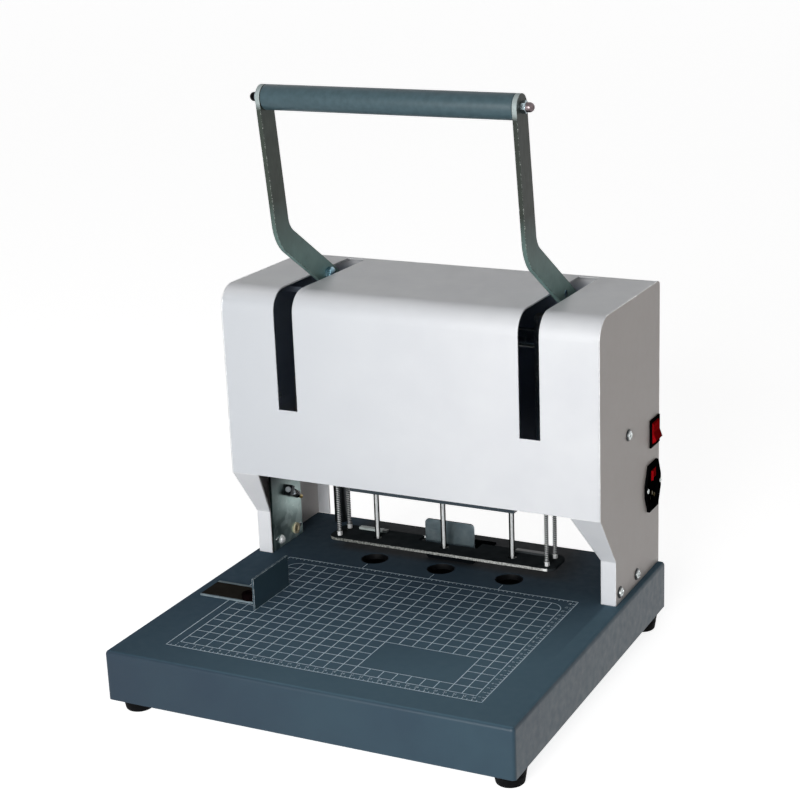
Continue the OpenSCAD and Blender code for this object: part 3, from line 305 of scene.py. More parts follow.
# Black rubber looks matt and dusty. Zinc plating on small steel is grey with a soft gloss.
black_rubber = moulded("black_rubber", "#090a0b", "#101113", rough=0.7, depth=0.05, specular=0.05)
zinc = plated("zinc_plated_steel", "#8d989a", "#a6afae", stretch=(1, 1, 5))
dress(zinc, "foot_screws")
low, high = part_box("feet")
foot_r = 17.0
foot_top = (high[2] - low[2])/MM
foot_profile = [(4.8, 9.0), (4.8, 0.4), (5.2, 0.0), (12.6, 0.0), (13.4, 0.25), (14.0, 0.9), (14.3, 1.8),
                (15.6, 9.6), (15.1, 10.0), (15.15, 11.0), (15.8, 11.4), (16.7, 16.6), (foot_r, 17.2),
                (16.8, foot_top), (2.6, foot_top)]
foot_spots = [(x, y, 0) for x in (low[0] + foot_r*MM, high[0] - foot_r*MM)
              for y in (low[1] + foot_r*MM, high[1] - foot_r*MM)]
rubber_feet = skins("rubber_feet", black_rubber, "stand",
                    [turned(foot_profile, spot) for spot in foot_spots])
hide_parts("feet")

# Drill pads and the print on the deck
# Dark nylon pads, matt and nearly black, lie in the deck's cups. The print is screen ink: a 15 mm grid with a
# plain field, in a ruler frame with 5 mm ticks and numbers every 10 mm. It stops at the gauge's slot.
dress(moulded("dark_nylon", "#060708", "#0a0b0d", rough=0.7, specular=0.0), "drill_pads")


def strips(rows, width):
    """Corners of flat strips of one width, from rows of x0, y0, x1, y1 in millimetres. Ends stand out by half
    the width, so that strips meet in full corners."""
    rows = np.asarray(rows, float)
    start, end = rows[:, :2], rows[:, 2:]
    along = (end - start)/np.linalg.norm(end - start, axis=1)[:, None]*width/2
    side = np.c_[-along[:, 1], along[:, 0]]
    start, end = start - along, end + along
    return np.stack([start - side, end - side, end + side, start + side], 1)


print_z = DECK + 0.06*MM
grid_x = -164.5 + 15*np.arange(23)
grid_y = -165.0 + 15*np.arange(16)
corner = 15.0
field_left, field_right, field_front, field_back = grid_x[13], grid_x[20], grid_y[1], grid_y[5]
left, right, front, back = -175.0, 176.0, -175.5, 71.5
slot_front, slot_back, slot_right = -54.5, -47.5, -142.0
grid_rows = []
for x in grid_x:
    y1 = grid_y[-1] - corner*(x in (grid_x[0], grid_x[-1]))
    parted = [(x, grid_y[0], x, field_front), (x, field_back, x, y1)]
    grid_rows += parted if field_left < x < field_right else [(x, grid_y[0], x, y1)]
for y in grid_y:
    inset = corner*(y == grid_y[-1])
    x0, x1 = grid_x[0] + inset, grid_x[-1] - inset
    parted = [(x0, y, field_left, y), (field_right, y, x1, y)]
    grid_rows += parted if field_front < y < field_back else [(x0, y, x1, y)]
bend = np.radians(np.linspace(0, 90, 7))
for side, x in ((-1, grid_x[0] + corner), (1, grid_x[-1] - corner)):
    arc = np.c_[x + side*corner*np.cos(bend), grid_y[-1] - corner + corner*np.sin(bend)]
    grid_rows += np.c_[arc[:-1], arc[1:]].tolist()
cut_rows = []
for x0, y0, x1, y1 in [*grid_rows, (left, front, left, back)]:
    crosses = x0 == x1 < slot_right and y0 < slot_front and y1 > slot_back
    cut_rows += [(x0, y0, x0, slot_front), (x0, slot_back, x0, y1)] if crosses else [(x0, y0, x1, y1)]
frame_rows = [(left, front, right, front), (right, front, right, back), (right, back, left, back)]
tick_long = (2.2, 3.4)
tick_rows = []
for i, x in enumerate(np.arange(left + 5, right - 1, 5)):
    tick_rows += [(x, front, x, front + tick_long[i % 2]), (x, back, x, back - tick_long[i % 2])]
for i, y in enumerate(np.arange(front + 5, back - 1, 5)):
    tick_rows.append((right, y, right - tick_long[i % 2], y))
drill_x, drill_mark = (-82.7, 0, 82.7), 84.6
tick_rows += [(x, back, x, drill_mark) for x in drill_x]
flat = np.concatenate([strips(cut_rows, 0.85), strips(frame_rows, 0.9), strips(tick_rows, 0.65)])
points = [np.c_[flat.reshape(-1, 2)*MM, np.full(4*len(flat), print_z)]]
faces = (np.arange(len(flat))[:, None]*4 + np.arange(4)).tolist()


def number(text, x, y, height, turn):
    """Points and triangles of a plain number in the built-in font, centred on x and y in millimetres."""
    curve = bpy.data.curves.new("number", "FONT")
    curve.body = text
    curve.size = height*MM
    curve.align_x, curve.align_y = "CENTER", "CENTER"
    curve.resolution_u = 2
    holder = bpy.data.objects.new("number", curve)
    mesh = bpy.data.meshes.new_from_object(holder)
    mesh.transform(Matrix.Translation((x*MM, y*MM, print_z)) @ Matrix.Rotation(turn, 4, "Z"))
    corners = np.empty(3*len(mesh.vertices), np.float32)
    mesh.vertices.foreach_get("co", corners)
    triangles = np.empty(len(mesh.loops), np.int32)
    mesh.loops.foreach_get("vertex_index", triangles)
    bpy.data.objects.remove(holder)
    return corners.reshape(-1, 3), triangles.reshape(-1, 3)


mark_in, mark_high = 6.4, 4.2
marks = [(str(n), left + 10*n, front + mark_in, 0.0) for n in range(1, 35)]
marks += [(str(n), right - mark_in, front + 10*n, math.pi/2) for n in range(1, 25)]
for text, x, y, turn in marks:
    corners, triangles = number(text, x, y, mark_high, turn)
    faces += (sum(len(p) for p in points) + triangles).tolist()
    points.append(corners)
# Screen ink is pale blue and thins out in 4 mm spots.
print_ink, tree, shader, coords, *_ = new_look("screen_print_ink")
thin = add(tree, "MapRange", [mottle(tree, coords, 4.0, 5.0), 0.32, 0.5, 0.35, 1.0])
feed(tree, shader, {"Base Color": fade(tree, thin, 0, 1, "#9cbfd8", "#def0fb"), "Roughness": 0.55})
print_mesh = bpy.data.meshes.new("deck_print")
print_mesh.from_pydata(np.concatenate(points).tolist(), [], faces)
print_mesh.materials.append(print_ink)
deck_print = bpy.data.objects.new("deck_print", print_mesh)
scene.collection.objects.link(deck_print)
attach(deck_print, "stand")

# Covers: two folded side covers and one sheet wrapped over front, top and rear
# All are folded sheet steel in white powder coat, screwed to the inner frames. The side covers' flats are
# tinted warm by painted light, and their edges are rubbed to bright metal.
white = ("#dfe1e5", "#e6e8eb", "#f4f5f6")
white_coat = powder_coat("white_powder_coat", *white, rough=0.4, peel=1.4, radius=1.6, bare=True)
tree, shader, coords, _, normal = opened(white_coat)
sideways = add(tree, "Math", [normal[0]], operation="ABSOLUTE")
# Painted light: a warm tint on faces that look along X.
painted_warm_light = fade(tree, mottle(tree, coords, 70.0), 0, 1, "#d8d1cd", "#e0dad6")
feed(tree, shader, {"Base Color": fade(tree, sideways, 0.9, 0.98, linked(shader, "Base Color"), painted_warm_light)})
dress(white_coat, "side_cover_left", "side_cover_right")
# The wrapped sheet's front is greyer to the left, as painted shade. Inside it is blue-grey primer, dark
# enough to stand for the shade inside the cover, with painted light, nearly white, at the slots' rear ends. A
# face is inside where its normal points towards the cover's own axis along X.
wrap_coat = powder_coat("white_coat_over_primer", *white, rough=0.4, peel=1.4)
tree, shader, coords, (x, y, z), normal = opened(wrap_coat)
low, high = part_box("wrap_cover")
middle = (0, (low[1] + high[1])/2, (low[2] + high[2])/2)
from_axis = add(tree, "VectorMath", [coords, middle], operation="SUBTRACT")
from_axis = add(tree, "VectorMath", [from_axis, (0, 1, 1)], operation="MULTIPLY")
flat = add(tree, "NewGeometry", out="Normal")
outward = add(tree, "VectorMath", [flat, from_axis], "Value", operation="DOT_PRODUCT")
# Painted shade: the front greyer to the left.
painted_shade_left_front = zone(tree, (x, 0.1, -0.2), (normal[1], -0.6, -0.9))
paint = fade(tree, painted_shade_left_front, 0, 1, linked(shader, "Base Color"), "#d0d4d9")
# Painted light: nearly white near the slots' rear ends.
painted_light_slot_ends = zone(tree, (y, high[1] - 30*MM, high[1] - 26*MM), (z, high[2] - 20*MM, high[2] - 6*MM))
primer_and_painted_shade = fade(tree, painted_light_slot_ends, 0, 1, "#828da1", "#e4e5e7")
feed(tree, shader, {"Base Color": fade(tree, outward, -1*MM, -4*MM, paint, primer_and_painted_shade)})
dress(wrap_coat, "wrap_cover")

# Screws of the covers and the deck
# Zinc-plated steel pan heads, domed and with a cross recess. The side covers' screws sit on blackened
# washers, and the middle one of the deck's three holds the back stop.


def pan_head(place, axis, radius, height, turn=0.6):
    """Rings of a pan head: a short rim, then a dome that falls with the square of the radius. Points inside a
    cross of narrow width are lowered to make the recess. Sizes are in millimetres."""
    sides, rim = 48, 0.45*height
    cross_wide, cross_long, cross_deep = 0.17*radius, 0.62*radius, 0.5*height
    shares = np.linspace(1, 0, 14)[1:]
    profile = [(radius, 0), (radius, rim), *[(radius*s, rim + (height - rim)*(1 - s*s)) for s in shares]]
    angle = np.arange(sides)*2*np.pi/sides + turn
    across = np.abs(np.array(profile)[:, :1]*np.stack([np.cos(angle), np.sin(angle)])[:, None])
    recess = (across.min(0) < cross_wide) & (across.max(0) < cross_long)
    sunk = cross_deep*MM*recess[:, :, None]*np.array(Vector(axis).normalized())
    return turned(profile, place, axis, sides) - sunk


def shank(place, axis, radius, length):
    """Rings of a plain shank with a 0.6 mm chamfer at its end, in millimetres."""
    return turned([(radius, 0), (radius, length - 0.6), (radius - 0.6, length), (0, length)], place, axis, 24)


# Bright zinc mirrors its surroundings, white zinc is a pale dull plating, and black oxide a dark satin.
bright_zinc = plated("bright_zinc", "#b4babb", "#c9cdcc", rough=0.22)
white_zinc = plated("white_zinc", "#e9ecec", "#f6f8f8", rough=0.4, metal=0.35)
black_oxide = plated("black_oxide_steel", "#2b2e31", "#393d40", rough=0.34)
face_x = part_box("side_cover_right")[1][0]
spacer_x = 0.199
washer = [(2.6, 0), (6.2, 0), (6.5, 0.3), (6.5, 0.8), (6.2, 1.0), (2.6, 1.0)]
cover_heads, cover_washers = [], []
for side in (-1, 1):
    out = Vector((side, 0, 0))
    for y, z in ((112.7, 178.0), (86.7, 12.0), (138.7, 12.0)):
        spot = Vector((side*face_x, y*MM, DECK + z*MM))
        cover_washers.append(turned(washer, spot, out))
        cover_heads.append(pan_head(spot + out*1.0*MM, out, 4.9, 3.2, 0.3*y))
        cover_heads.append(shank(spot + out*0.5*MM, -out, 2.5, (face_x - spacer_x)/MM + 0.5))
cover_screw_heads = skins("cover_screw_heads", bright_zinc, "stand", cover_heads)
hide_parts("cover_screws")
skins("cover_screw_washers", black_oxide, "stand", cover_washers)
up = Vector((0, 0, 1))
deck_screw_y = 0.178
deck_parts = []
for x, z in ((-60, 0.0), (0, 2.05), (60, 0.0)):
    spot = Vector((x*MM, deck_screw_y, DECK + z*MM))
    deck_parts.append(pan_head(spot, up, 4.5, 3.0, 0.1*x))
    deck_parts.append(shank(spot + up*0.5*MM, -up, 3.0, z + 8))
deck_screw_heads = skins("deck_screw_heads", bright_zinc, "stand", deck_parts)
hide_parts("deck_screws")

# Inner frames, columns and return springs
# The frames are galvanised sheet, bolted to the tray, and the columns blackened bar in brackets. The return
# springs are close-wound wire, between the stand above and the drill head below.
dress(zinc, "frame_spacers", "frame_bolts", "column_screws")
dress(black_oxide, "guide_columns")
# Galvanised sheet shows a 7 mm spangle. It is dull at the front, painted dark above as painted shade inside
# the cover, and primed at the top.
galvanised, tree, shader, coords, (x, y, z), _ = new_look("galvanised_sheet")
spangle = add(tree, "TexVoronoi", {"Vector": coords, "Scale": 1/(7*MM)}, "Color")
grey = add(tree, "SeparateColor", [spangle])
dull_sheet = fade(tree, grey, 0, 1, "#6d7f7e", "#869796")
sheet = fade(tree, y, 0.085, 0.125, dull_sheet, fade(tree, grey, 0, 1, "#b2c9c6", "#d2e4e1"))
primed = (DECK + 0.13, DECK + 0.17)
painted_shade_above = fade(tree, z, *primed, "#12171b", "#a3afc0")
feed(tree, shader, {"Base Color": fade(tree, z, DECK + 0.045, DECK + 0.09, sheet, painted_shade_above),
                    "Metallic": add(tree, "MapRange", [z, *primed, 1.0, 0.0]),
                    "Roughness": add(tree, "MapRange", [grey, 0, 1, 0.3, 0.46]),
                    "Normal": soft_normal(tree, mottle(tree, coords, 2.0), 0.01, 0.4)})
# Ground steel has fine lines along its length, and sintered bronze a warm satin.
ground_steel = plated("ground_steel", "#b3b8bb", "#c8cccd", rough=0.2, stretch=(1, 1, 8))
bronze = plated("sintered_bronze", "#a98545", "#bd9a58", rough=0.36)
dress(galvanised, "frame_left", "frame_right", "column_brackets")
dress(bronze, "shaft_bushes")


def wound(place, height, radius, wire, turns):
    """Rings of a compression spring in millimetres: the wire climbs by its own thickness in the closed turns
    at each end and evenly in between, at one radius, and each ring lies square to the wire."""
    closed, sides, per_turn = 1.25, 10, 18
    end_rise = closed*wire*1.02
    t = np.linspace(0, turns, int(turns*per_turn) + 1)
    top = height - wire
    rise = np.interp(t, [0, closed, turns - closed, turns], [0, end_rise, top - end_rise, top])
    climb = (top - 2*end_rise)/(turns - 2*closed)/(2*np.pi*radius)
    angle = 2*np.pi*t
    out = np.stack([np.cos(angle), np.sin(angle), 0*t], 1)
    centre = np.array(place) + MM*(radius*out + np.stack([0*t, 0*t, rise + wire/2], 1))
    ahead = np.stack([-np.sin(angle), np.cos(angle), climb + 0*t], 1)
    over = np.cross(ahead/np.linalg.norm(ahead, axis=1)[:, None], out)
    around = (np.arange(sides)*2*np.pi/sides)[None, :, None]
    rings = centre[:, None] + wire/2*MM*(np.cos(around)*out[:, None] + np.sin(around)*over[:, None])
    return rings[:, ::-1]


# Hard-drawn wire is dark grey and shiny.
spring_wire = plated("spring_wire", "#5d6366", "#767c7e", rough=0.2)
low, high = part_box("return_springs")
return_r, return_wire = 7.0, 2.0
return_parts = [wound((x, (low[1] + high[1])/2, low[2]), (high[2] - low[2])/MM, return_r - return_wire/2,
                      return_wire, turns=84) for x in (low[0] + return_r*MM, high[0] - return_r*MM)]
return_coils = skins("return_spring_coils", spring_wire, None, return_parts)
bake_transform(return_coils)
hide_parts("return_springs")

# Limit switch, earthing screw and cable grommet on the left frame
# The switch is a chromed barrel with ridges, clamped in a strap, with a black lock nut and a brass plunger
# that points back and down. The earthing screw clamps a washer, and the grommet is pressed into the frame.
# Moulded black plastic is deep and without a sheen, and nylon a waxy beige.
black_plastic = moulded("black_plastic", "#070809", "#0d0e10", rough=0.4, specular=0.0)
dress(moulded("beige_nylon", "#c9bd9b", "#d5cbad", rough=0.5), "cable_grommet")
switch_from = Vector((-0.195, 0.1077, DECK + 0.067))
switch_tilt = math.radians(57)
switch_way = Vector((0, math.sin(switch_tilt), -math.cos(switch_tilt)))
nut_from, nut_to = 14.0, 25.0
# Chrome, black nut and brass follow each other along the barrel.
barrel_look, tree, shader, coords, *_ = new_look("chromed_barrel_and_brass")
offset = add(tree, "VectorMath", [coords, switch_from], operation="SUBTRACT")
along = add(tree, "VectorMath", [offset, switch_way], "Value", operation="DOT_PRODUCT")
shade = fade(tree, mottle(tree, coords, 3.0), 0.3, 0.7, "#c2ccd2", "#e8eef2")
shade = fade(tree, along, (nut_from - 0.1)*MM, (nut_from + 0.1)*MM, shade, "#141618")
shade = fade(tree, along, (nut_to - 0.1)*MM, (nut_to + 0.1)*MM, shade, "#e2c273")
feed(tree, shader, {"Base Color": shade, "Metallic": 0.5,
                    "Roughness": add(tree, "MapRange", [mottle(tree, coords, 0.8), 0.3, 0.7, 0.16, 0.3])})
ridges = [(3.2 - 0.25*(i % 2), h) for i, h in enumerate(np.arange(0.6, 13.4, 0.5))]
barrel_profile = [(0, 0), (2.8, 0), *ridges, (3.1, nut_from), (3.6, nut_from), (4.4, 14.6), (4.4, 17.0),
                  (3.9, 17.4), (3.9, 18.0), (4.4, 18.4), (4.4, 24.4), (4.0, nut_to), (2.6, nut_to),
                  (2.6, 33.6), (2.2, 35.2), (1.4, 36.0), (0, 36.0)]
strap_corners = np.array([[-5, -6], [3.4, -6], [3.4, 6], [-5, 6]])
strap_ring = strap_corners @ np.array([(1, 0, 0), switch_way.cross(Vector((1, 0, 0)))])
strap_rows = ((0.01, 3.0), (0.97, 3.0), (1, 3.3), (1, 8.7), (0.97, 9.0), (0.01, 9.0))
strap = [np.array(switch_from) + MM*(size*strap_ring + h*np.array(switch_way)) for size, h in strap_rows]
limit_barrel = skins("limit_switch_barrel", barrel_look, "stand",
                     [turned(barrel_profile, switch_from, switch_way, 36)])
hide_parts("limit_switch")
skins("limit_switch_strap", black_oxide, "stand", [strap])
low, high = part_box("earth_screw")
right_way = Vector((1, 0, 0))
earth_spot = Vector((high[0] - 4.5*MM, (low[1] + high[1])/2, (low[2] + high[2])/2))
earth_head = skins("earth_screw_head", white_zinc, "stand",
                   [pan_head(earth_spot + right_way*1*MM, right_way, 4.2, 3.5, 0.4)])
earth_profile = [(1, 0), (5.2, 0), (5.4, 0.3), (5.4, 0.8), (5.1, 1.0), (1, 1.0)]
skins("earth_screw_washer", white_zinc, "stand", [turned(earth_profile, earth_spot, right_way)])
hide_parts("earth_screw")

# Switch and mains inlet on the right side cover
# The cases are moulded black plastic, snapped and screwed into the cover. The rockers are clear red plastic,
# each on a pin in its case, and brass pins stand in the socket, darkened to brown as painted shade.
dress(black_plastic, "switch_body", "inlet_body")
# Painted shade: the brass pins darkened to brown.
dress(plated("inlet_brass", "#4f4429", "#6e603c", rough=0.3), "inlet_pins")
# Clear red is painted deep on faces that look up, as painted shade, and light on faces that look down, as
# painted light.
red_plastic, tree, shader, coords, _, normal = new_look("clear_red_plastic")
painted_shade_red = fade(tree, mottle(tree, coords, 3.0), 0, 1, "#85060c", "#b40c14")
painted_light_red = fade(tree, mottle(tree, coords, 5.0), 0, 1, "#c60f17", "#ea2029")
feed(tree, shader, {"Base Color": fade(tree, normal[2], -0.1, 0.1, painted_light_red, painted_shade_red),
                    "Roughness": 0.22, "Specular IOR Level": 0.0,
                    "Normal": soft_normal(tree, mottle(tree, coords, 3.0), 0.01, 0.6)})
dress(red_plastic, "main_rocker", "inlet_rocker")
low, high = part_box("inlet_screws")
inlet_r = 2.7
inlet_parts = []
for y in (low[1] + inlet_r*MM, high[1] - inlet_r*MM):
    spot = Vector((high[0] - 1.5*MM, y, (low[2] + high[2])/2))
    inlet_parts += [pan_head(spot, right_way, inlet_r, 1.5, 0.5), shank(spot, -right_way, 1.5, 9)]
inlet_screw_heads = skins("inlet_screw_heads", bright_zinc, "stand", inlet_parts)
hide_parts("inlet_screws")

# Lever: arms, shaft, pinions, bolts, tie rod and cap nuts
# The arms are bent steel plate, plated with zinc, bolted to the ends of a ground shaft, and held apart by the
# tie rod with its cap nuts. Pinions on the shaft drive the racks of the drill head.
dress(ground_steel, "lever_shaft", "pinions", "tie_rod")
# Dull zinc plate is greenish and streaked along the arms: teal below the bend and darker above it, darker on
# the right arm as painted shade, with speckled rubbed edges and a pale rim beside the grip as a painted
# highlight.
arm_plate, tree, shader, coords, (x, _, z), normal = new_look("dull_zinc_plate")
dull = fade(tree, mottle(tree, coords, 20.0), 0.35, 0.7, "#303932", "#3a433c")
# Painted shade: the right arm darker.
dull = fade(tree, zone(tree, (x, 0.0, 0.1, 0.0, 0.6)), 0, 1, dull, "#161b16")
teal = fade(tree, mottle(tree, coords, 16.0), 0.35, 0.7, "#6f8b87", "#7a9894")
tint = fade(tree, z, DECK + 0.42, DECK + 0.35, dull, teal)
speckle = fade(tree, mottle(tree, coords, 1.5, 5.0), 0.52, 0.6, "#38413c", "#c3cac4")
tint = fade(tree, edge_mask(tree, 1.8, coords), 0, 1, tint, speckle)
sideways = add(tree, "Math", [normal[0]], operation="ABSOLUTE")
# Painted highlight: a pale rim beside the grip.
rim = zone(tree, (sideways, 0.7, 0.4), (z, DECK + 0.515, DECK + 0.522))
streak = mottle(tree, coords, 1.2, 4.0, (1, 1, 9))
feed(tree, shader, {"Base Color": fade(tree, rim, 0, 1, tint, "#a3afaf"),
                    "Metallic": 0.1, "Specular IOR Level": 0.3,
                    "Roughness": add(tree, "MapRange", [streak, 0.3, 0.7, 0.4, 0.54]),
                    "Normal": soft_normal(tree, streak, 0.015, 0.8)})
dress(arm_plate, "lever_arm_left", "lever_arm_right")


def hex_nut(place, axis, across, height, bore, both=True):
    """Rings of a hexagon cut from a turned blank, whose ends are chamfered at 30 degrees, in millimetres.
    At an angle from the middle of a flat, the flat is half the width across over the angle's cosine away."""
    def flats(angle):
        return across/2/np.cos((angle + np.pi/6) % (np.pi/3) - np.pi/6)

    inner, corner = 0.96*across/2, across/2/math.cos(math.pi/6) + 0.01
    fall = (corner - inner)*math.tan(math.radians(30))
    chamfer = [(inner + (corner - inner)*s, fall*s) for s in np.linspace(0, 1, 5)]
    foot = chamfer if both else [(corner, 0)]
    head = [(r, height - h) for r, h in reversed(chamfer)]
    return turned([(bore, 0), *foot, *head, (bore, height)], place, axis, 72, flats)


low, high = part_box("arm_bolts")
bolt_x, bolt_y, bolt_z = 0.1385, (low[1] + high[1])/2, (low[2] + high[2])/2
bolt_parts = []
for side in (-1, 1):
    spot = Vector((side*bolt_x, bolt_y, bolt_z))
    bolt_parts.append(hex_nut(spot, -side*right_way, 13.0, 6.5, 0.0, both=False))
    bolt_parts.append(shank(spot, side*right_way, 4.0, 5.0))
# Blue-passivated zinc gleams with a cool tinge.
blue_zinc = plated("blue_passivated_zinc", "#6d93a3", "#a3bcc6", rough=0.2)
arm_bolt_heads = skins("arm_bolt_heads", blue_zinc, "lever", bolt_parts)
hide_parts("arm_bolts")
low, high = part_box("cap_nuts")
cap_x, grip_y, grip_z = 0.1435, (low[1] + high[1])/2, (low[2] + high[2])/2
cap_r, cap_long, hex_high = 4.9, 13.0, 5.5
dome = [(cap_r*math.cos(a), cap_long - cap_r + cap_r*math.sin(a)) for a in np.linspace(0, math.pi/2, 9)]
cap_parts = []
for side in (-1, 1):
    spot = Vector((side*cap_x, grip_y, grip_z))
    cap_parts.append(hex_nut(spot, side*right_way, 10.9, hex_high, 3.55))
    cap_parts.append(turned([(3.6, hex_high), (cap_r, hex_high), *dome], spot, side*right_way))
# Nickel plating is bright on the hexagon, and the dome is painted dark as a painted reflection, black at the
# left.
cap_look, tree, shader, coords, (x, _, _), _ = new_look("nickel_plated_cap")
aside = add(tree, "Math", [x], operation="ABSOLUTE")
hex_tint = fade(tree, mottle(tree, coords, 3.0), 0, 1, "#7f8f96", "#b3c0c5")
painted_reflection_dome = fade(tree, mottle(tree, coords, 4.0), 0, 1, "#3a3435", "#8d8083")
painted_reflection_dome = fade(tree, x, -0.1, 0.1, "#0c0c0d", painted_reflection_dome)
dome_x = cap_x + hex_high*MM
feed(tree, shader, {"Base Color": fade(tree, aside, dome_x - 0.1*MM, dome_x + 0.1*MM, hex_tint, painted_reflection_dome),
                    "Metallic": 1.0,
                    "Roughness": add(tree, "MapRange", [mottle(tree, coords, 1.0), 0.3, 0.7, 0.12, 0.24])})
cap_nut_pair = skins("cap_nut_pair", cap_look, "lever", cap_parts)
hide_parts("cap_nuts")

# Grip
# A sleeve of grey PVC, moulded with rolled ends, which turns freely on the tie rod between the arms.
# Its surface is a fine grain that hands have rubbed to half gloss.
grip_look = moulded("grey_pvc_sleeve", "#3d5259", "#455b63", rough=0.42, grain=0.9, depth=0.05,
                    specular=0.3)
low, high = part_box("grip_tube")
grip_long = (high[0] - low[0])/MM
grip_r, roll = 13.0, 1.2
rolled = [(grip_r - roll*(1 - math.sin(a)), roll*(1 - math.cos(a))) for a in np.linspace(0, math.pi/2, 6)]
grip_profile = [(3.6, 0.6), (10.6, 0.6), (11.0, 0.0), *rolled]
grip_profile += [(r, grip_long - h) for r, h in reversed(grip_profile)]
grip_sleeve = skins("grip_sleeve", grip_look, "grip",
                    [turned(grip_profile, (low[0], grip_y, grip_z), right_way, 64)])
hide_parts("grip_tube")

# Drill head: crossbeam, spindle bar, top plate, racks, motor, belts and bits
# Crossbeam and top plate are milled aluminium, with tool lines along X, on bronze bushes that run on the
# columns. The spindle bar is steel and the motor a can, both painted, with ground spindles and rubber belts.
milled = plated("milled_aluminium", "#a4a9ac", "#b6babc", rough=0.34, stretch=(9, 1, 1))
bar_coat = powder_coat("blue_grey_paint", "#26333c", "#2f3d47", "#56656f", rough=0.4, peel=0.8, radius=0.5)
motor_coat = powder_coat("black_motor_paint", "#16181a", "#1f2123", "#3a3d40", rough=0.45)
dress(milled, "crossbeam", "top_plate")
dress(bar_coat, "spindle_bar")
dress(motor_coat, "motor_housing")
dress(black_rubber, "belts")
dress(ground_steel, "head_spacers", "racks", "spindle_left", "spindle_middle", "spindle_right")
dress(bronze, "column_bushes")


def polish(look, shade, low, high):
    """Round bright steel with a painted highlight: its tint where it faces front and right, falling to a
    painted shade away from there. Low and high are the cosines where the fall ends and starts."""
    painted_light_way = (0.47, -0.88, 0)
    tree, shader, *_ = opened(look)
    flat = add(tree, "NewGeometry", out="Normal")
    facing = add(tree, "VectorMath", [flat, painted_light_way], "Value", operation="DOT_PRODUCT")
    feed(tree, shader, {"Base Color": fade(tree, facing, low, high, shade, linked(shader, "Base Color"))})


# Tool steel has a painted highlight, a narrow bright line along each bit, and painted shade beside it.
bit_steel = plated("tool_steel", "#e4e7e7", "#f4f5f5", rough=0.28, stretch=(1, 1, 10), metal=0.3,
                   specular=0.0)
polish(bit_steel, "#101314", 0.78, 0.97)
dress(bit_steel, "bit_left", "bit_middle", "bit_right")

# Press plate, its ribs, rods, nuts and springs
# A steel plate with two welded ribs hangs on four threaded rods. Each rod carries two nuts, a washer and a
# wound spring, which runs from the drill head down to the plate.

# The plate's flats are painted dark as a painted reflection. Its upright edges show bare metal through scale,
# with painted light brightening them to the right, a painted glint near the right end, and the rounded right
# corner painted dark as painted shade.
press_steel, tree, shader, coords, (x, _, _), normal = new_look("steel_plate_painted_reflection")
drawn = mottle(tree, coords, 0.6, 4.0, (10, 1, 1))
tint = fade(tree, mottle(tree, coords, 14.0), 0.35, 0.68, "#262a2c", "#303436")
level = add(tree, "Math", [normal[2]], operation="ABSOLUTE")
# Right-facing faces are left dark as painted shade.
upright = zone(tree, (level, 0.8, 0.6), (normal[0], 0.35, 0.2))
# Painted light: the edges brighten towards the right.
scale = fade(tree, x, -0.1, 0.08, "#3f4341", "#8b8d8a")
bare = fade(tree, x, -0.1, 0.08, "#8e908b", "#c9cac6")
bare = fade(tree, mottle(tree, coords, 2.2, 5.0), 0.4, 0.62, scale, bare)
# Painted glint near the plate's right end.
bare = fade(tree, x, 0.124, 0.127, bare, "#f4f5f3")
feed(tree, shader, {"Base Color": fade(tree, upright, 0, 1, tint, bare), "Specular IOR Level": 0.0,
                    "Roughness": add(tree, "MapRange", [drawn, 0.3, 0.7, 0.2, 0.34]),
                    "Normal": soft_normal(tree, drawn, 0.012, 0.6)})
dress(press_steel, "press_plate")
# The ribs are steel sheet, pale on the left rib's outer side as painted light and dark elsewhere as painted
# shade.
rib_look, tree, shader, coords, (x, _, _), _ = new_look("rib_sheet_painted_light_shade")
tint = fade(tree, mottle(tree, coords, 9.0), 0, 1, "#8f9a98", "#b4bdbb")
tint = fade(tree, x, -0.0855, -0.0845, tint, "#3b4141")
feed(tree, shader, {"Base Color": fade(tree, x, 0.082, 0.086, tint, "#24292c"),
                    "Roughness": add(tree, "MapRange", [mottle(tree, coords, 1.5), 0.3, 0.7, 0.35, 0.5])})
dress(rib_look, "press_ribs")
# A thread is drawn as lines across the rod, in painted glints and a bump. At scale 1 a wave's bands repeat
# every 2 pi/20 of a metre.
threaded, tree, shader, coords, *_ = new_look("threaded_steel_rod")
thread_pitch = 0.8
thread = add(tree, "TexWave", {"Vector": coords, "Scale": 2*math.pi/20/(thread_pitch*MM)}, "Fac",
             bands_direction="Z")
feed(tree, shader, {"Base Color": fade(tree, thread, 0, 1, "#3f4547", "#7d8385"), "Metallic": 1.0,
                    "Roughness": 0.3, "Normal": soft_normal(tree, thread, 0.3, 0.2)})
dress(threaded, "press_rods")
low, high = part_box("press_nuts")
rod_low, rod_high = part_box("press_rods")
rod_r, nut_across, nut_high = 1.6, 5.7, 4.5
rod_spots = [(x, y) for x in (rod_low[0] + rod_r*MM, rod_high[0] - rod_r*MM)
             for y in (rod_low[1] + rod_r*MM, rod_high[1] - rod_r*MM)]
nut_bore = rod_r + 0.03
press_washer = [(nut_bore, nut_high), (3.3, nut_high), (3.5, 4.7), (3.5, 5.3), (3.3, 5.5), (nut_bore, 5.5)]
nut_parts = []
for x, y in rod_spots:
    for foot in (low[2], high[2] - nut_high*MM):
        nut_parts.append(hex_nut((x, y, foot), up, nut_across, nut_high, nut_bore))
    nut_parts.append(turned(press_washer, (x, y, low[2])))
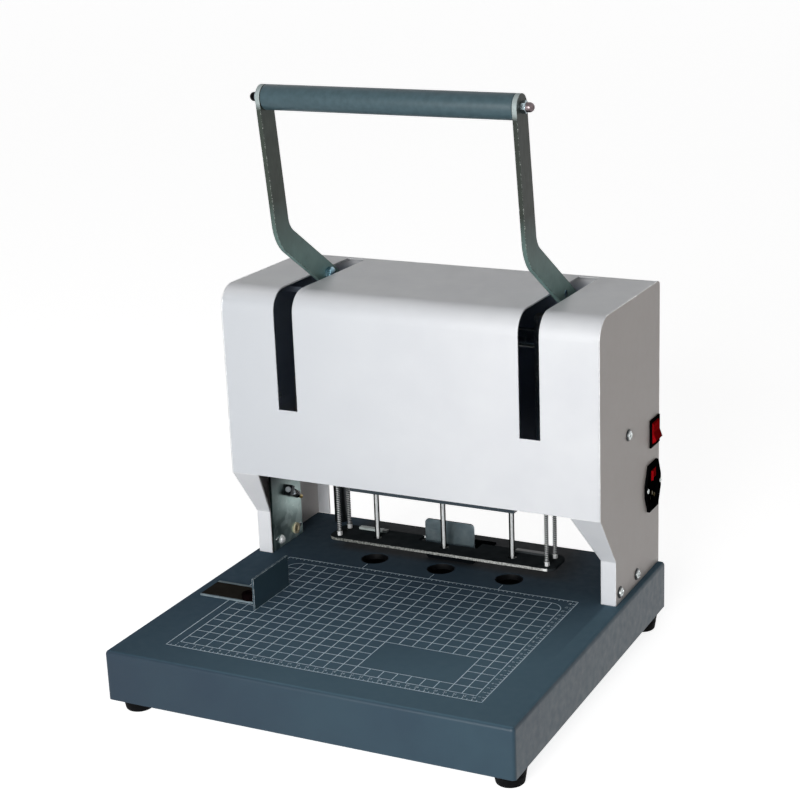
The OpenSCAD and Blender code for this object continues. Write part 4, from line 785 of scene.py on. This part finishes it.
# Nuts and wire are pale zinc, with a painted highlight in front and painted shade at their sides.
nut_zinc = plated("nut_zinc", "#eef0f0", "#fafbfb", rough=0.3, metal=0.3, specular=0.0)
polish(nut_zinc, "#2a2e30", 0.35, 0.8)
press_nut_set = skins("press_nut_set", nut_zinc, "press", nut_parts)
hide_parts("press_nuts")
low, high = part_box("press_springs")
bright_wire = plated("bright_spring_wire", "#f0f2f2", "#fcfdfd", rough=0.24, metal=0.3, specular=0.0)
press_parts = [wound((x, y, low[2]), (high[2] - low[2])/MM, radius=2.15, wire=0.8, turns=30)
               for x, y in rod_spots]
polish(bright_wire, "#1d2122", 0.35, 0.8)
press_coils = skins("press_spring_coils", bright_wire, None, press_parts)
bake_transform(press_coils)
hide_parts("press_springs")

# Side gauge with its clamp knob, and the back stop
# The gauge is bent sheet in paint. Its slotted foot slides under a knurled knob of black moulding, which
# clamps it by a stud and nut. The back stop is bent sheet, zinc plated, held by the deck's middle screw.

# Dull grey paint is pale at the edges, as rubbed wear and painted highlight, and on the foot it is dark brown
# between two pale rails of painted highlight.
gauge_coat = powder_coat("dull_grey_paint", "#31454f", "#3a4e5a", "#e2ecf0", rough=0.55, peel=0.9, radius=0.9,
                         specular=0.06)
tree, shader, coords, (x, y, z), _ = opened(gauge_coat)
foot_front, foot_back, foot_high, foot_right = -57.5*MM, -19.0*MM, DECK + 2.2*MM, -136.7*MM
# Painted highlight: two pale rails along the foot's front and back.
painted_highlight_rails = add(tree, "Math", [zone(tree, (y, foot_front + 2.0*MM, foot_front + 1.5*MM)),
                           zone(tree, (y, foot_back - 4.5*MM, foot_back - 4.0*MM))], operation="ADD")
rubbed = fade(tree, mottle(tree, coords, 6.0), 0, 1, "#5d6c74", "#93a2a8")
foot_tint = fade(tree, painted_highlight_rails, 0, 1, "#17140f", rubbed)
on_foot = zone(tree, (z, foot_high + 0.1*MM, foot_high - 0.1*MM),
               (x, foot_right + 0.1*MM, foot_right - 0.1*MM))
foot_dull = add(tree, "Math", [on_foot, 0.4], operation="MULTIPLY")
dull = add(tree, "Math", [linked(shader, "Roughness"), foot_dull], operation="ADD")
feed(tree, shader, {"Base Color": fade(tree, on_foot, 0, 1, linked(shader, "Base Color"), foot_tint),
                    "Roughness": dull})
dress(gauge_coat, "side_gauge")
dress(zinc, "gauge_nut")
# Dull zinc sheet is blue-grey, and painted dark on its foot and near the deck as painted shade.
stop_sheet = plated("dull_zinc_sheet", "#75858b", "#8a989d", rough=0.36, stretch=(1, 1, 4), specular=0.0)
tree, shader, _, (_, _, z), normal = opened(stop_sheet)
painted_shade_low = add(tree, "Math", [zone(tree, (normal[2], 0.5, 0.8)), zone(tree, (z, DECK + 12*MM, DECK + 8*MM))],
           operation="MAXIMUM")
feed(tree, shader, {"Base Color": fade(tree, painted_shade_low, 0, 1, linked(shader, "Base Color"), "#0c0f12"),
                    "Metallic": add(tree, "MapRange", [painted_shade_low, 0, 1, 1.0, 0.0])})
dress(stop_sheet, "back_stop")
low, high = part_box("gauge_knob")
knob_x, knob_y, knob_z = (low[0] + high[0])/2, (low[1] + high[1])/2, high[2] - 8*MM
knob_profile = [(3.0, 0), (6.9, 0), (7.4, 0.5), (8.0, 0.9), (8.0, 6.4), (7.5, 7.2), (6.4, 7.8), (5.0, 8.0),
                (3.4, 8.0), (3.2, 7.2), (0, 7.2)]


def knurl(angle):
    """Radius of 24 rounded ridges in millimetres: a cosine wave around the knob."""
    return 7.75 + 0.25*np.cos(24*angle)


knob_parts = [turned(knob_profile, (knob_x, knob_y, knob_z), up, 96, knurl),
              shank((knob_x, knob_y, knob_z + 1*MM), -up, 3.0, (knob_z - low[2])/MM + 1)]
# Phenolic moulding is a dull black with a trace of brown.
phenolic = moulded("black_phenolic", "#0a0607", "#140b0d", rough=0.85, specular=0.0)
clamp_knob = skins("clamp_knob", phenolic, "knob", knob_parts)
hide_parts("gauge_knob")
